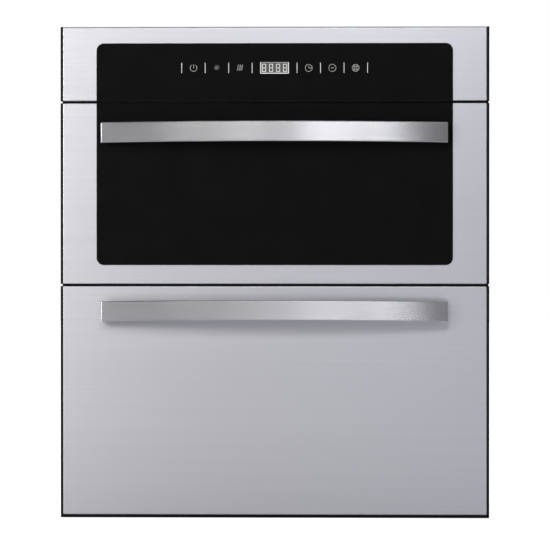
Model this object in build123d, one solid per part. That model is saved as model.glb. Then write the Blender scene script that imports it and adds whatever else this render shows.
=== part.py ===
from build123d import *

import math
import os

# Built-in dish sterilizer cabinet: a fixed control panel over two full-extension drawers.
# Millimetres. +X is the user's right, -Y is the front, +Z is up.
# The origin is on the floor, in the middle of the whole outline.

# ---------------------------------------------------------------- driving dimensions

# Fronts, as seen by the user
front_width = 600.0  # over the black edge trims
edge_trim_width = 3.0
floor_gap = 1.0  # under the base strip
base_strip_height = 3.5
base_strip_gap = 0.5  # between the base strip and the lower drawer front
lower_front_height = 320.0
upper_front_height = 253.0
control_height = 104.0
front_gap = 3.0  # between two fronts
front_pan_depth = 18.0
front_sheet = 1.0
inner_pan_rim = 8.0  # depth of the tray that closes a drawer front's back
front_corner_radius = 2.0
front_fold_radius = 1.5
control_top_radius = 3.0  # of the control panel's fold along the top
trim_setback = 0.4  # of the edge trims behind the steel face

# Black glass, let flush into the control fascia and the upper drawer front
glass_side_margin = 47.5
control_glass_top_margin = 23.2
upper_glass_bottom_margin = 26.3
glass_corner_radius = 10.5
glass_thickness = 4.0
glass_reveal = 0.35  # gap round the glass
glass_edge_chamfer = 0.5

# Handles: flat strap bowed away from the front, with a leg at each end
handle_height = 28.0
handle_strap = 5.0
handle_reach = 36.0  # of the strap's middle from the face
handle_end_reach = 22.0  # of its ends
handle_end_margin = 7.5  # from the glass's side to the handle's end
handle_rise = 2.0  # of the strap's middle above its ends
handle_leg_width = 10.0
handle_corner_radius = 3.0
handle_edge_chamfer = 0.9
upper_handle_drop = 25.6  # from the top of the drawer front to the handle's top edge
lower_handle_drop = 19.0
handle_screw_offset = 8.0  # of each screw above and below the leg's middle
handle_screw_length = 12.0
handle_bore_spare = 1.0  # behind the end of each screw

# Front frame and seals
front_clearance = 4.0  # from the drawers' front pans to the frame
fascia_flange = 12.0
fascia_screw_inset = 30.0
frame_sheet = 1.5
frame_edge_setback = 1.0  # of the frame's edge inside the front outline
frame_lip = 10.0  # turned back round each opening
frame_opening_radius = 8.0
lower_opening_bottom_margin = 38.0
lower_opening_top_margin = 23.0
upper_opening_bottom_margin = 22.0
upper_opening_top_margin = 19.0
gasket_width = 8.0
gasket_inset = 3.0  # from the opening's edge to the gasket
gasket_compression_gap = 0.35
gasket_lip_radius = 1.4
install_hole_radius = 2.25
install_hole_edge = 10.0  # from the frame's edge
install_hole_low = 110.0  # heights of the holes, from the frame's bottom and top edges
install_hole_high = 190.0

# Case
case_side_setback = 22.0  # of the case behind the front's side
case_top_setback = 24.0
case_depth = 420.0  # from the frame's front plane to the rear panel
case_sheet = 1.0
case_flange = 14.0
side_space = 26.0  # between the case's side and the frame opening
foot_height = 20.0
foot_radius = 18.0
foot_taper = 2.0
foot_inset_x = 40.0
foot_inset_y = 50.0
foot_recess_radius = 6.0
foot_recess_depth = 9.0
foot_screw_end = 3.0  # above the base panel
rear_emboss_height = 3.0
rear_emboss_margin = 60.0
rear_emboss_fold = 6.0
vent_slot_length = 46.0
vent_slot_width = 4.0
vent_pitch = 9.0
rear_vent_x = 90.0
rear_vent_rows = 7
rear_vent_gap = 18.0  # above the raised field
top_vent_x = 140.0
top_vent_rows = 9
top_vent_margin = 50.0  # from the rear

# Chambers
liner_sheet = 1.0
liner_fit = 0.1  # between the frame's lips and the liners
rear_space = 46.0  # between the liners and the rear panel
insulation_gap = 1.5

# Telescopic slides
slide_height = 45.6
slide_thickness = 12.7
slide_sheet = 1.2
slide_setback = 14.0  # from the frame's back to the outer member
slide_end_gap = 6.0  # from the outer member to the liner's back wall
slide_overlap = 30.0  # kept at full travel
slide_above_opening = 42.0  # centre above the opening's bottom edge
ball_diameter = 3.0
ball_clearance = 0.15
outer_flange_reach = 9.6
middle_web_offset = 3.8
middle_flange_reach = 10.0
inner_flange_start = 7.0
outer_cage_offset = 2.2
inner_cage_offset = 5.8
cage_sheet = 0.8
cage_length = 150.0
cage_start = 96.0  # behind the frame's back
ball_pitch = 25.0

# Drawer frames and wire racks
arm_sheet = 1.5
arm_margin = 3.5  # of the arm above and below its slide
arm_ledge = 14.0
arm_front_flange = 25.0
arm_rear_gap = 36.0  # behind the arms, to the liner's back wall
rear_rail_height = 22.0
rack_side_gap = 1.0
rack_front_gap = 5.0
rack_rear_gap = 3.0
rail_radius = 2.5
wire_radius = 1.6
upper_rack_height = 100.0
lower_rack_height = 120.0
rack_wall_pitch = 24.0
rack_floor_pitch = 26.0
rack_cross_pitch = 78.0
weld_lap = 0.6  # of crossing floor wires into each other
tine_height = 62.0
tine_pitch = 26.0
tine_row_gap = 64.0  # between the two rows of plate tines
tine_wall_gap = 34.0  # from the rack's right wall to the first row

# Upper chamber: hot-air fan and ultraviolet lamp
fan_size = 92.0
fan_depth = 25.0
fan_bore_radius = 43.0
fan_hub_radius = 18.0
fan_blade_radius = 41.0
fan_blade_count = 7
fan_blade_pitch = 38.0
fan_blade_thickness = 1.6
fan_blade_trim = 4.0  # the blades are this much shorter than the hub
fan_wheel_gap = 1.5  # in front of the hub and behind it
fan_shaft_radius = 2.0
fan_shaft_clearance = 0.05
fan_strut_width = 6.0
fan_plate_thickness = 4.0
heater_size = 90.0
heater_depth = 14.0
heater_rim = 6.0
heater_fin = 1.2
heater_fin_gap = 4.4
grille_size = 112.0
grille_slot_width = 5.0
grille_slot_pitch = 9.0
grille_slot_margin = 14.0
lamp_radius = 7.8
lamp_length = 212.0
lamp_end_round = 2.0
lamp_below_ceiling = 18.0
lamp_from_back = 46.0
lamp_holder_width = 16.0
lamp_holder_wall = 4.0
lamp_fit = 0.1  # round the ends of the lamp and of the infrared tubes
lamp_guard_gap = 5.0

# Lower chamber: quartz infrared tubes
quartz_radius = 6.0
quartz_side_gap = 26.0  # from each end of a tube to the liner's side
quartz_from_back = 16.0
quartz_low = 60.0  # heights above the opening's bottom edge
quartz_high = 165.0
quartz_holder_size = 20.0
quartz_holder_width = 18.0
guard_from_back = 29.0
guard_overhang = 22.0
guard_pitch = 30.0

# Controls and electrics
key_line_below_top = 57.9
key_window_half_width = 148.0
key_window_half_height = 16.0
key_pitch = 32.9
key_first = 47.8  # from the middle to the nearest key
key_spring_radius = 4.0
board_thickness = 1.6
board_setback = 6.0  # behind the glass
board_edge_gap = 2.0
display_width = 44.0
display_height = 19.0
housing_wall = 2.0
housing_depth = 11.0
power_board_width = 170.0
power_board_depth = 110.0
power_board_lift = 14.0
bay_front_margin = 55.0  # from the frame to the power board and the ballast
power_post_radius = 4.0
relay_size = 18.0
transformer_size = 40.0
transformer_height = 30.0
ballast_corner_radius = 3.0
ballast_width = 120.0
ballast_depth = 40.0
ballast_height = 30.0
grommet_cable_radius = 4.2
grommet_flange_radius = 11.0
grommet_neck_radius = 8.0
grommet_flange = 2.0
grommet_inset_x = 62.0
grommet_below_top = 44.0

# Drawer switches
switch_plunger_radius = 2.0
switch_plunger_travel = 2.5
switch_spring_room = 2.0  # left behind the plunger when it is pressed
switch_tip_round = 0.8
switch_plunger_gap = 0.4  # to the closed drawer
switch_bore_clearance = 0.15
switch_width = 12.0
switch_height = 22.0
switch_depth = 26.0
switch_hole_gap = 0.4  # round the plunger in the frame
switch_from_case = 10.0  # from the case's side to the plunger

# Fasteners
screw_radius = 1.75
screw_length = 8.0
screw_head_radius = 3.6
screw_head_height = 2.0
screw_head_round = 0.8
screw_hole_clearance = 0.25
thread_clearance = 0.05
screw_cross = 0.9
rear_screw_pitch = 150.0
side_screw_pitch = 130.0

# ---------------------------------------------------------------- places worked out from them

front_half = front_width / 2
face_half = front_half - edge_trim_width
glass_half = face_half - glass_side_margin
handle_half = glass_half - handle_end_margin

strip_z0 = floor_gap
strip_z1 = strip_z0 + base_strip_height
lower_z0 = strip_z1 + base_strip_gap
lower_z1 = lower_z0 + lower_front_height
upper_z0 = lower_z1 + front_gap
upper_z1 = upper_z0 + upper_front_height
control_z0 = upper_z1 + front_gap
control_z1 = control_z0 + control_height

overall_depth = handle_reach + front_pan_depth + front_clearance + case_depth + screw_head_height
y_face = -overall_depth / 2 + handle_reach
y_pan = y_face + front_pan_depth  # back of the front pans
y_frame = y_pan + front_clearance  # front plane of the frame
y_case = y_frame + frame_sheet  # back of the frame
y_rear = y_frame + case_depth  # outside of the rear panel

case_half = front_half - case_side_setback
case_z0 = foot_height
case_z1 = control_z1 - case_top_setback
opening_half = case_half - side_space
lower_open_z0 = lower_z0 + lower_opening_bottom_margin
lower_open_z1 = lower_z1 - lower_opening_top_margin
upper_open_z0 = upper_z0 + upper_opening_bottom_margin
upper_open_z1 = upper_z1 - upper_opening_top_margin

frame_half = front_half - frame_edge_setback
frame_z0 = floor_gap
frame_z1 = control_z1 - frame_edge_setback
install_x = frame_half - install_hole_edge
install_z0 = frame_z0 + install_hole_low
install_z1 = frame_z1 - install_hole_high

liner_half = opening_half + frame_sheet + liner_fit
y_liner_back = y_rear - case_sheet - rear_space - liner_sheet  # inside of the back wall
slide_y0 = y_case + slide_setback
slide_y1 = y_liner_back - slide_end_gap
drawer_travel = slide_y1 - slide_y0 - slide_overlap
arm_y1 = y_liner_back - arm_rear_gap
arm_half = liner_half - slide_thickness  # outside of the arms
rack_half = arm_half - arm_sheet - rack_side_gap - rail_radius
rack_y0 = y_pan + rack_front_gap + rail_radius
rack_y1 = arm_y1 - arm_sheet - rack_rear_gap - rail_radius

upper_slide_z = upper_open_z0 + slide_above_opening
lower_slide_z = lower_open_z0 + slide_above_opening
arm_half_height = slide_height / 2 + arm_margin
ledge_lift = arm_sheet + rail_radius  # from the arm's bottom to the rack's bottom rail

upper_handle_z = upper_z1 - upper_handle_drop - handle_height / 2
lower_handle_z = lower_z1 - lower_handle_drop - handle_height / 2

fan_z = (upper_open_z0 + upper_open_z1) / 2
y_heater = y_liner_back + liner_sheet
y_fan0 = y_heater + heater_depth
y_fan1 = y_fan0 + fan_depth
key_z = control_z1 - key_line_below_top
switch_x = case_half - switch_from_case
grommet_x = case_half - grommet_inset_x
grommet_z = case_z1 - grommet_below_top
screw_hole_radius = screw_radius + screw_hole_clearance


# ---------------------------------------------------------------- helpers


def block(x0, x1, y0, y1, z0, z1):
    """A box between two corners."""
    middle = Pos((x0 + x1) / 2, (y0 + y1) / 2, (z0 + z1) / 2)
    return middle * Box(x1 - x0, y1 - y0, z1 - z0)


def rod(start, end, radius):
    """A round rod between two points."""
    a, b = Vector(*start), Vector(*end)
    middle = Plane(origin=(a + b) * 0.5, z_dir=b - a)
    return middle * Cylinder(radius, (b - a).length)


def mirrored(shape):
    """A shape and its mirror image across the middle, as two solids."""
    return [shape, shape.mirror(Plane.YZ)]


def fused(shapes):
    """One solid made of touching shapes."""
    return shapes[0] + shapes[1:]


def evenly(start, end, pitch):
    """Places from start to end, both included, about one pitch apart."""
    steps = max(1, round((end - start) / pitch))
    return [start + (end - start) * i / steps for i in range(steps + 1)]


def between(start, end, pitch):
    """The places of evenly, without the two ends."""
    return evenly(start, end, pitch)[1:-1]


def screw(length=screw_length):
    """Pan-head screw with a cross recess. Its head is above Z 0 and its shank below."""
    head = Pos(0, 0, screw_head_height / 2) * Cylinder(screw_head_radius, screw_head_height)
    head = fillet(head.edges().group_by(Axis.Z)[-1], screw_head_round)
    arm = Box(screw_head_radius, screw_cross, screw_cross * 2)
    recess = Pos(0, 0, screw_head_height) * (arm + Rot(0, 0, 90) * arm)
    return head + rod((0, 0, -length), (0, 0, 0), screw_radius) - recess


def placed(shape, point, outward):
    """A shape set at a point, with its +Z turned outward."""
    return Plane(origin=point, z_dir=outward) * shape


# ---------------------------------------------------------------- fronts


def steel_pan(z0, z1, y_back):
    """Outer form of a front's folded steel skin, before it is hollowed."""
    pan = block(-face_half, face_half, y_face, y_back, z0, z1)
    pan = fillet(pan.edges().filter_by(Axis.Y), front_corner_radius)
    return fillet(pan.edges().group_by(Axis.Y)[0], front_fold_radius)


def pan_inside(z0, z1, y0, y_back):
    """The hollow of a pan, from y0 to its open back."""
    inside = face_half - front_sheet
    return block(-inside, inside, y0, y_back, z0 + front_sheet, z1 - front_sheet)


def top_edge_rounding(y, z, radius):
    """Cutter that rounds the whole width's top front edge, which lies at y and z."""
    reach = front_half + 1
    corner = block(-reach, reach, y - 1, y + radius, z - radius, z + 1)
    return corner - rod((-reach, y + radius, z - radius), (reach, y + radius, z - radius), radius)


def glass_prism(z_round, z_open, y0, y1, grow):
    """Outline of a glass pane, with rounded corners at z_round and square ones at z_open."""
    half = glass_half + grow
    upward = z_open > z_round
    edge = z_round - grow if upward else z_round + grow
    pane = block(-half, half, y0, y1, min(edge, z_open), max(edge, z_open))
    ends = pane.edges().filter_by(Axis.Y).group_by(Axis.Z)[0 if upward else -1]
    return fillet(ends, glass_corner_radius + grow)


def recessed_pan(z0, z1, z_round, z_open, y_back, top_radius=0):
    """A steel skin with a recess for flush glass, open at one long edge. Its top fold may be wider."""
    floor = y_face + glass_thickness + front_sheet
    past = z_open + (front_sheet if z_open > z_round else -front_sheet)
    skin = steel_pan(z0, z1, y_back) - pan_inside(z0, z1, floor, y_back)
    rim = pan_inside(z0, z1, y_face + front_sheet, floor)
    if top_radius:
        skin -= top_edge_rounding(y_face, z1, top_radius)
        rim -= top_edge_rounding(y_face + front_sheet, z1 - front_sheet, top_radius - front_sheet)
    skin -= rim - glass_prism(z_round, past, y_face, floor, front_sheet)
    return skin - glass_prism(z_round, past, y_face - 1, y_face + glass_thickness, 0)


def glass_pane(z_round, z_open):
    """Tempered glass with ground edges, flush with the steel."""
    pane = glass_prism(z_round, z_open, y_face, y_face + glass_thickness, -glass_reveal)
    return chamfer(pane.edges().group_by(Axis.Y)[0], glass_edge_chamfer)


def edge_trims(z0, z1, y_back):
    """The black strips that close the two ends of a front."""
    trim = block(face_half, front_half, y_face + trim_setback, y_back, z0, z1)
    corners = trim.edges().filter_by(Axis.Z).group_by(Axis.X)[-1].sort_by(Axis.Y)[:1]
    return Compound(mirrored(fillet(corners, front_fold_radius)))


def inner_pan(z0, z1):
    """The tray that closes a drawer front's back, welded inside the outer skin's folds."""
    rim = y_pan - inner_pan_rim
    tray = pan_inside(z0, z1, rim, y_pan)
    return tray - block(
        -face_half + 2 * front_sheet, face_half - 2 * front_sheet, rim, y_pan - front_sheet,
        z0 + 2 * front_sheet, z1 - 2 * front_sheet,
    )


def rounded_ring(half, z0, z1, width, y0, y1, radius):
    """A rectangular ring round a drawer opening, with rounded corners."""
    outer = block(-half - width, half + width, y0, y1, z0 - width, z1 + width)
    outer = fillet(outer.edges().filter_by(Axis.Y), radius + width)
    inner = block(-half, half, y0, y1, z0, z1)
    return outer - fillet(inner.edges().filter_by(Axis.Y), radius)


def gasket(open_z0, open_z1):
    """Silicone seal on the inner pan, rounded where it meets the frame."""
    half = opening_half + gasket_inset
    ring = rounded_ring(
        half, open_z0 - gasket_inset, open_z1 + gasket_inset, gasket_width,
        y_pan, y_frame - gasket_compression_gap, frame_opening_radius,
    )
    return fillet(ring.edges().group_by(Axis.Y)[-1], gasket_lip_radius)


def handle_band(z_middle):
    """The handle's outline from the front: a band that rises a little to its middle."""
    x, z0, z1 = handle_half, z_middle - handle_height / 2, z_middle + handle_height / 2
    with BuildSketch(Plane.XZ) as outline:
        with BuildLine():
            ThreePointArc((-x, z0 - handle_rise), (0, z0), (x, z0 - handle_rise))
            Line((x, z0 - handle_rise), (x, z1 - handle_rise))
            ThreePointArc((x, z1 - handle_rise), (0, z1), (-x, z1 - handle_rise))
            Line((-x, z1 - handle_rise), (-x, z0 - handle_rise))
        make_face()
    return extrude(outline.sketch, amount=overall_depth, both=True)


def handle(z_middle):
    """Flat strap bowed in plan, turned back into a leg at each end, with its front edges chamfered."""
    sag = handle_reach - handle_end_reach
    bow = (handle_half**2 + sag**2) / (2 * sag)
    centre_y = y_face - handle_reach + bow
    inner_half = handle_half - handle_leg_width
    inner_y = centre_y - math.sqrt((bow - handle_strap) ** 2 - inner_half**2)
    end_y = y_face - handle_end_reach
    middle_back = y_face - handle_reach + handle_strap
    with BuildSketch(Plane.XY.offset(z_middle)) as plan:
        with BuildLine():
            ThreePointArc((-handle_half, end_y), (0, y_face - handle_reach), (handle_half, end_y))
            Polyline(
                (handle_half, end_y), (handle_half, y_face), (inner_half, y_face), (inner_half, inner_y)
            )
            ThreePointArc((inner_half, inner_y), (0, middle_back), (-inner_half, inner_y))
            Polyline(
                (-inner_half, inner_y), (-inner_half, y_face), (-handle_half, y_face), (-handle_half, end_y)
            )
        make_face()
    bar = extrude(plan.sketch, amount=handle_height, both=True) & handle_band(z_middle)
    front = bar.faces().sort_by(Axis.Y)[0]
    bar = chamfer(front.edges().filter_by(Axis.Z, reverse=True), handle_edge_chamfer)
    ahead = [e for e in bar.edges() if e.center().Y < end_y + handle_edge_chamfer]
    bar = fillet([e for e in ahead if abs(e.center().X) > handle_half - 1], handle_corner_radius)
    hole_radius = screw_radius + thread_clearance
    depth = handle_screw_length - handle_screw_grip(z_middle) + handle_bore_spare
    for x, z in handle_screw_places(z_middle):
        bar -= rod((x, y_face - depth, z), (x, y_face, z), hole_radius)
    return bar


def handle_screw_places(z_middle):
    """The X and Z of the four screws of a handle."""
    x, z = handle_half - handle_leg_width / 2, z_middle - handle_rise
    return [(sx * x, z + sz * handle_screw_offset) for sx in (-1, 1) for sz in (-1, 1)]


def handle_screw_grip(z_middle):
    """What the handle's screws pass through: the skin, and the glass on the upper drawer."""
    return front_sheet + (glass_thickness if z_middle > upper_z0 else 0)


def handle_screws(z_middle):
    """Four screws from inside the front into the handle's legs."""
    head_y = y_face + handle_screw_grip(z_middle)
    one = screw(handle_screw_length)
    return Compound([placed(one, (x, head_y, z), (0, 1, 0)) for x, z in handle_screw_places(z_middle)])


def handle_holes(z_middle):
    """Clearance holes for those screws."""
    past = y_face + handle_screw_grip(z_middle) + 1
    places = handle_screw_places(z_middle)
    return [rod((x, y_face - 1, z), (x, past, z), screw_hole_radius) for x, z in places]


def control_fascia():
    """Steel skin of the control panel, its recess cut open behind the keys and the display."""
    glass_top = control_z1 - control_glass_top_margin
    skin = recessed_pan(control_z0, control_z1, glass_top, control_z0, y_frame, control_top_radius)
    inside, top = face_half - front_sheet, control_z1 - front_sheet
    flange = block(-inside, inside, y_frame - front_sheet, y_frame, top - fascia_flange, top)
    skin += flange
    for x, z in fascia_screw_places():
        skin -= rod((x, y_frame - 2 * front_sheet, z), (x, y_frame, z), screw_hole_radius)
    return skin - block(
        -key_window_half_width, key_window_half_width, y_face, y_frame - 2 * front_sheet,
        key_z - key_window_half_height, key_z + key_window_half_height,
    )


def fascia_screw_places():
    """The X and Z of the screws from behind the frame into the fascia's top flange."""
    z = control_z1 - front_sheet - fascia_flange / 2
    reach = face_half - fascia_screw_inset
    return [(x, z) for x in evenly(-reach, reach, reach)]


def fixed_trims():
    """The control panel's end strips, and the black strip under the lower drawer."""
    strip = block(-front_half, front_half, y_face + trim_setback, y_frame, strip_z0, strip_z1)
    corners = strip.edges().filter_by(Axis.Z).group_by(Axis.Y)[0]
    rounding = top_edge_rounding(y_face + trim_setback, control_z1, control_top_radius)
    ends = [end - rounding for end in edge_trims(control_z0, control_z1, y_frame).solids()]
    return Compound([fillet(corners, front_fold_radius), *ends])


# ---------------------------------------------------------------- case


def front_frame():
    """Black steel frame: a plate with two openings, each with a lip turned back into its liner."""
    plate = block(-frame_half, frame_half, y_frame, y_case, frame_z0, frame_z1)
    plate = fillet(plate.edges().filter_by(Axis.Y), front_corner_radius)
    for z0, z1 in ((lower_open_z0, lower_open_z1), (upper_open_z0, upper_open_z1)):
        plate += rounded_ring(
            opening_half, z0, z1, frame_sheet, y_frame, y_case + frame_lip, frame_opening_radius
        )
        hole = block(-opening_half, opening_half, y_frame, y_case, z0, z1)
        plate -= fillet(hole.edges().filter_by(Axis.Y), frame_opening_radius)
    for x in (-install_x, install_x):
        for z in (install_z0, install_z1):
            plate -= rod((x, y_frame - 1, z), (x, y_case + 1, z), install_hole_radius)
    plunger_hole = switch_plunger_radius + switch_hole_gap
    for z in switch_heights():
        plate -= rod((-switch_x, y_frame - 1, z), (-switch_x, y_case + 1, z), plunger_hole)
    for x, z in fascia_screw_places():
        plate -= rod((x, y_frame - 1, z), (x, y_case + 1, z), screw_hole_radius)
    keys = key_window_half_width
    return plate - block(
        -keys, keys, y_frame, y_case, key_z - key_window_half_height, key_z + key_window_half_height
    )


def rear_screw_places():
    """The X and Z of the screws through the rear panel into the side panels' flanges."""
    x = case_half - case_sheet - case_flange / 2
    low, high = case_z0 + case_flange * 2, case_z1 - case_flange * 2
    heights = evenly(low, high, rear_screw_pitch)
    return [(sx * x, z) for sx in (-1, 1) for z in heights]


def side_screw_places():
    """The Y and Z of the screws through each side panel into the top and base panels' flanges."""
    rows = evenly(y_case + case_flange * 2, y_rear - case_flange * 2, side_screw_pitch)
    heights = (case_z0 + case_sheet + case_flange / 2, case_z1 - case_sheet - case_flange / 2)
    return [(y, z) for y in rows for z in heights]


def side_panel():
    """The right-hand side: a sheet with a flange turned in at the front and at the back."""
    x1, x0 = case_half, case_half - case_sheet
    y1 = y_rear - case_sheet
    low, high = case_z0 + case_flange * 2, case_z1 - case_flange * 2
    sheet = fused([
        block(x0, x1, y_case, y1, case_z0, case_z1),
        block(x1 - case_flange, x1, y_case, y_case + case_sheet, low, high),
        block(x0 - case_flange, x1, y1 - case_sheet, y1, low - case_flange, high + case_flange),
    ])
    for y, z in side_screw_places():
        sheet -= rod((x0 - 1, y, z), (x1 + 1, y, z), screw_hole_radius)
    for x, z in rear_screw_places():
        sheet -= rod((x, y_rear - case_flange, z), (x, y_rear, z), screw_hole_radius)
    wide, tall = switch_width / 2 + switch_hole_gap, switch_height / 2 + switch_hole_gap
    flange_back = y_case + case_sheet + switch_hole_gap
    for z in switch_heights():
        sheet -= block(switch_x - wide, switch_x + wide, y_case - 1, flange_back, z - tall, z + tall)
    return sheet


def deck_panel(z_out, upward):
    """Top or base panel: a sheet with its two side flanges turned into the case."""
    half = case_half - case_sheet
    y1 = y_rear - case_sheet
    z_in = z_out + case_sheet * upward
    z_tip = z_out + (case_sheet + case_flange) * upward
    sheet = block(-half, half, y_case, y1, *sorted((z_out, z_in)))
    flange = block(half - case_sheet, half, y_case + case_flange, y1 - case_flange, *sorted((z_out, z_tip)))
    sheet = fused([sheet, *mirrored(flange)])
    for y, z in side_screw_places():
        sheet -= rod((-half - 1, y, z), (half + 1, y, z), screw_hole_radius)
    return sheet


def top_panel():
    """Top panel, with two blocks of vent slots over the electrics."""
    panel = deck_panel(case_z1, -1)
    for sx in (-1, 1):
        for i in range(top_vent_rows):
            y = y_rear - top_vent_margin - vent_pitch * i
            x = sx * top_vent_x
            panel -= vent_slot(x, y, case_z1, Plane.XY)
    return panel


def vent_slot(x, y, z, plane):
    """Cutter for one slot with round ends, through a sheet at a point."""
    slot = extrude(plane * SlotOverall(vent_slot_length, vent_slot_width), amount=case_sheet * 3, both=True)
    return Pos(x, y, z) * slot


def foot_places():
    """The X and Y of the four feet."""
    x = case_half - foot_inset_x
    return [(sx * x, y) for sx in (-1, 1) for y in (y_case + foot_inset_y, y_rear - foot_inset_y)]


def base_panel():
    """Base panel, drilled for the feet."""
    panel = deck_panel(case_z0, 1)
    for x, y in foot_places():
        panel -= rod((x, y, case_z0 - 1), (x, y, case_z0 + case_sheet + 1), screw_hole_radius)
    return panel


def rear_panel():
    """Rear panel: a raised field for stiffness, vent slots beside the electrics and the cable hole."""
    y0 = y_rear - case_sheet
    z0, z1 = case_z0 + rear_emboss_margin, upper_open_z1
    width, height = 2 * (case_half - rear_emboss_margin), z1 - z0
    edge = Plane(origin=(0, y0, (z0 + z1) / 2), z_dir=(0, 1, 0))
    deep = edge.offset(-rear_emboss_height)
    fold = 2 * rear_emboss_fold
    field = loft([deep * Rectangle(width - fold, height - fold), edge * Rectangle(width, height)])
    shifted = Pos(0, case_sheet, 0) * field
    panel = block(-case_half, case_half, y0, y_rear, case_z0, case_z1)
    panel = panel - shifted + (field - shifted)
    for sx in (-1, 1):
        for i in range(rear_vent_rows):
            z = z1 + rear_vent_gap + vent_pitch * i
            panel -= vent_slot(sx * rear_vent_x, y_rear, z, Plane.XZ)
    for x, z in rear_screw_places():
        panel -= rod((x, y0 - 1, z), (x, y_rear + 1, z), screw_hole_radius)
    hole = rod((grommet_x, y0 - 1, grommet_z), (grommet_x, y_rear + 1, grommet_z), grommet_neck_radius)
    return panel - hole


def case_screws():
    """Screws of the rear, side, fascia and foot joints."""
    one = screw()
    low = foot_recess_depth
    screws = [placed(one, (x, y_rear, z), (0, 1, 0)) for x, z in rear_screw_places()]
    for sx in (-1, 1):
        screws += [placed(one, (sx * case_half, y, z), (sx, 0, 0)) for y, z in side_screw_places()]
    screws += [placed(one, (x, y_case, z), (0, 1, 0)) for x, z in fascia_screw_places()]
    foot_screw = screw(foot_height - low + case_sheet + foot_screw_end)
    screws += [placed(foot_screw, (x, y, low), (0, 0, -1)) for x, y in foot_places()]
    return Compound(screws)


def feet():
    """Four tapered rubber feet, each bored for its screw."""
    bodies = []
    for x, y in foot_places():
        foot = Pos(x, y, foot_height / 2) * Cone(foot_radius - foot_taper, foot_radius, foot_height)
        foot -= rod((x, y, 0), (x, y, foot_recess_depth), foot_recess_radius)
        bodies.append(foot - rod((x, y, 0), (x, y, foot_height), screw_hole_radius))
    return Compound(bodies)


def liner(open_z0, open_z1):
    """Stainless chamber: five walls, open at the front, outside the frame's lip."""
    edge = frame_sheet + liner_fit
    z0, z1 = open_z0 - edge, open_z1 + edge
    s = liner_sheet
    shell = block(-liner_half - s, liner_half + s, y_case, y_liner_back + s, z0 - s, z1 + s)
    inside = block(-liner_half, liner_half, y_case, y_liner_back, z0, z1)
    inside = fillet(inside.edges().filter_by(Axis.Y), frame_opening_radius)
    return shell - inside


def upper_liner():
    """Upper chamber, with the hot-air opening in its back wall."""
    hole = rod((0, y_liner_back - 1, fan_z), (0, y_liner_back + liner_sheet + 1, fan_z), fan_bore_radius)
    return liner(upper_open_z0, upper_open_z1) - hole


def divider_shelf():
    """Shelf between the chambers: a sheet with its sides turned down onto the side panels."""
    half = case_half - case_sheet
    z = (lower_open_z1 + upper_open_z0) / 2
    y0, y1 = y_case + case_flange, y_liner_back
    sheet = block(-half, half, y0, y1, z, z + case_sheet)
    flange = block(half - case_sheet, half, y0, y1, z - case_flange, z)
    return fused([sheet, *mirrored(flange)])


def lower_insulation():
    """Mineral wool wrapped under and beside the lower chamber."""
    edge = frame_sheet + liner_fit + liner_sheet
    inner = liner_half + liner_sheet + insulation_gap
    outer = case_half - case_sheet - case_flange - insulation_gap
    bottom = case_z0 + case_sheet + foot_screw_end + insulation_gap
    under = lower_open_z0 - edge - insulation_gap
    top = lower_open_z1
    y0, y1 = y_case + case_flange, y_liner_back
    return block(-outer, outer, y0, y1, bottom, top) - block(-inner, inner, y0, y1, under, top)


# ---------------------------------------------------------------- slides, drawer frames and racks


def channel(web_x, sheet, tip_x, half_height, y0, y1, z):
    """A C channel lying along Y: a web at web_x, and flanges out to tip_x."""
    x0, x1 = sorted((web_x, web_x + math.copysign(sheet, tip_x - web_x)))
    f0, f1 = sorted((web_x, tip_x))
    return fused([
        block(x0, x1, y0, y1, z - half_height, z + half_height),
        block(f0, f1, y0, y1, z + half_height - sheet, z + half_height),
        block(f0, f1, y0, y1, z - half_height, z - half_height + sheet),
    ])


def flange_levels():
    """Half heights of the outer, middle and inner members, each one ball inside the last."""
    step = slide_sheet + ball_diameter + 2 * ball_clearance
    outer = slide_height / 2
    return outer, outer - step, outer - 2 * step


def slide_outer(z):
    """The two fixed members, on the liner's walls."""
    half = flange_levels()[0]
    tip = liner_half - outer_flange_reach
    return Compound(mirrored(channel(liner_half, slide_sheet, tip, half, slide_y0, slide_y1, z)))


def slide_middle(z):
    """The two middle members."""
    half = flange_levels()[1]
    web, tip = liner_half - middle_web_offset, liner_half - middle_flange_reach
    return Compound(mirrored(channel(web, slide_sheet, tip, half, slide_y0, slide_y1, z)))


def slide_inner(z):
    """The two inner members, on the drawer's arms."""
    half = flange_levels()[2]
    web, tip = arm_half, liner_half - inner_flange_start
    return Compound(mirrored(channel(web, slide_sheet, tip, half, y_pan + slide_setback, arm_y1, z)))


def ball_cages(offset, tip, race, z):
    """Ball cages of one stage, left and right: a channel with two rows of balls in its flanges."""
    x0, x1 = liner_half - offset, liner_half - tip
    row = race - slide_sheet - ball_clearance - ball_diameter / 2
    y0 = y_case + cage_start
    y1 = y0 + cage_length
    strip = channel(x0, cage_sheet, x1, row + cage_sheet / 2, y0, y1, z)
    ball_x = (x0 - cage_sheet + x1) / 2
    rows = (z - row, z + row)
    places = [(ball_x, y, ball_z) for y in between(y0, y1, ball_pitch) for ball_z in rows]
    pocket = ball_diameter / 2 + ball_clearance
    for x, y, ball_z in places:
        strip -= rod((x, y, ball_z - cage_sheet), (x, y, ball_z + cage_sheet), pocket)
    solids = mirrored(strip)
    for place in places:
        solids += mirrored(Pos(*place) * Sphere(ball_diameter / 2))
    return Compound(solids)


def outer_cages(z):
    """Balls between the outer and middle members."""
    return ball_cages(outer_cage_offset, outer_flange_reach - slide_sheet, flange_levels()[0], z)


def inner_cages(z):
    """Balls between the middle and inner members."""
    return ball_cages(inner_cage_offset, middle_flange_reach + cage_sheet / 2, flange_levels()[1], z)


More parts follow.
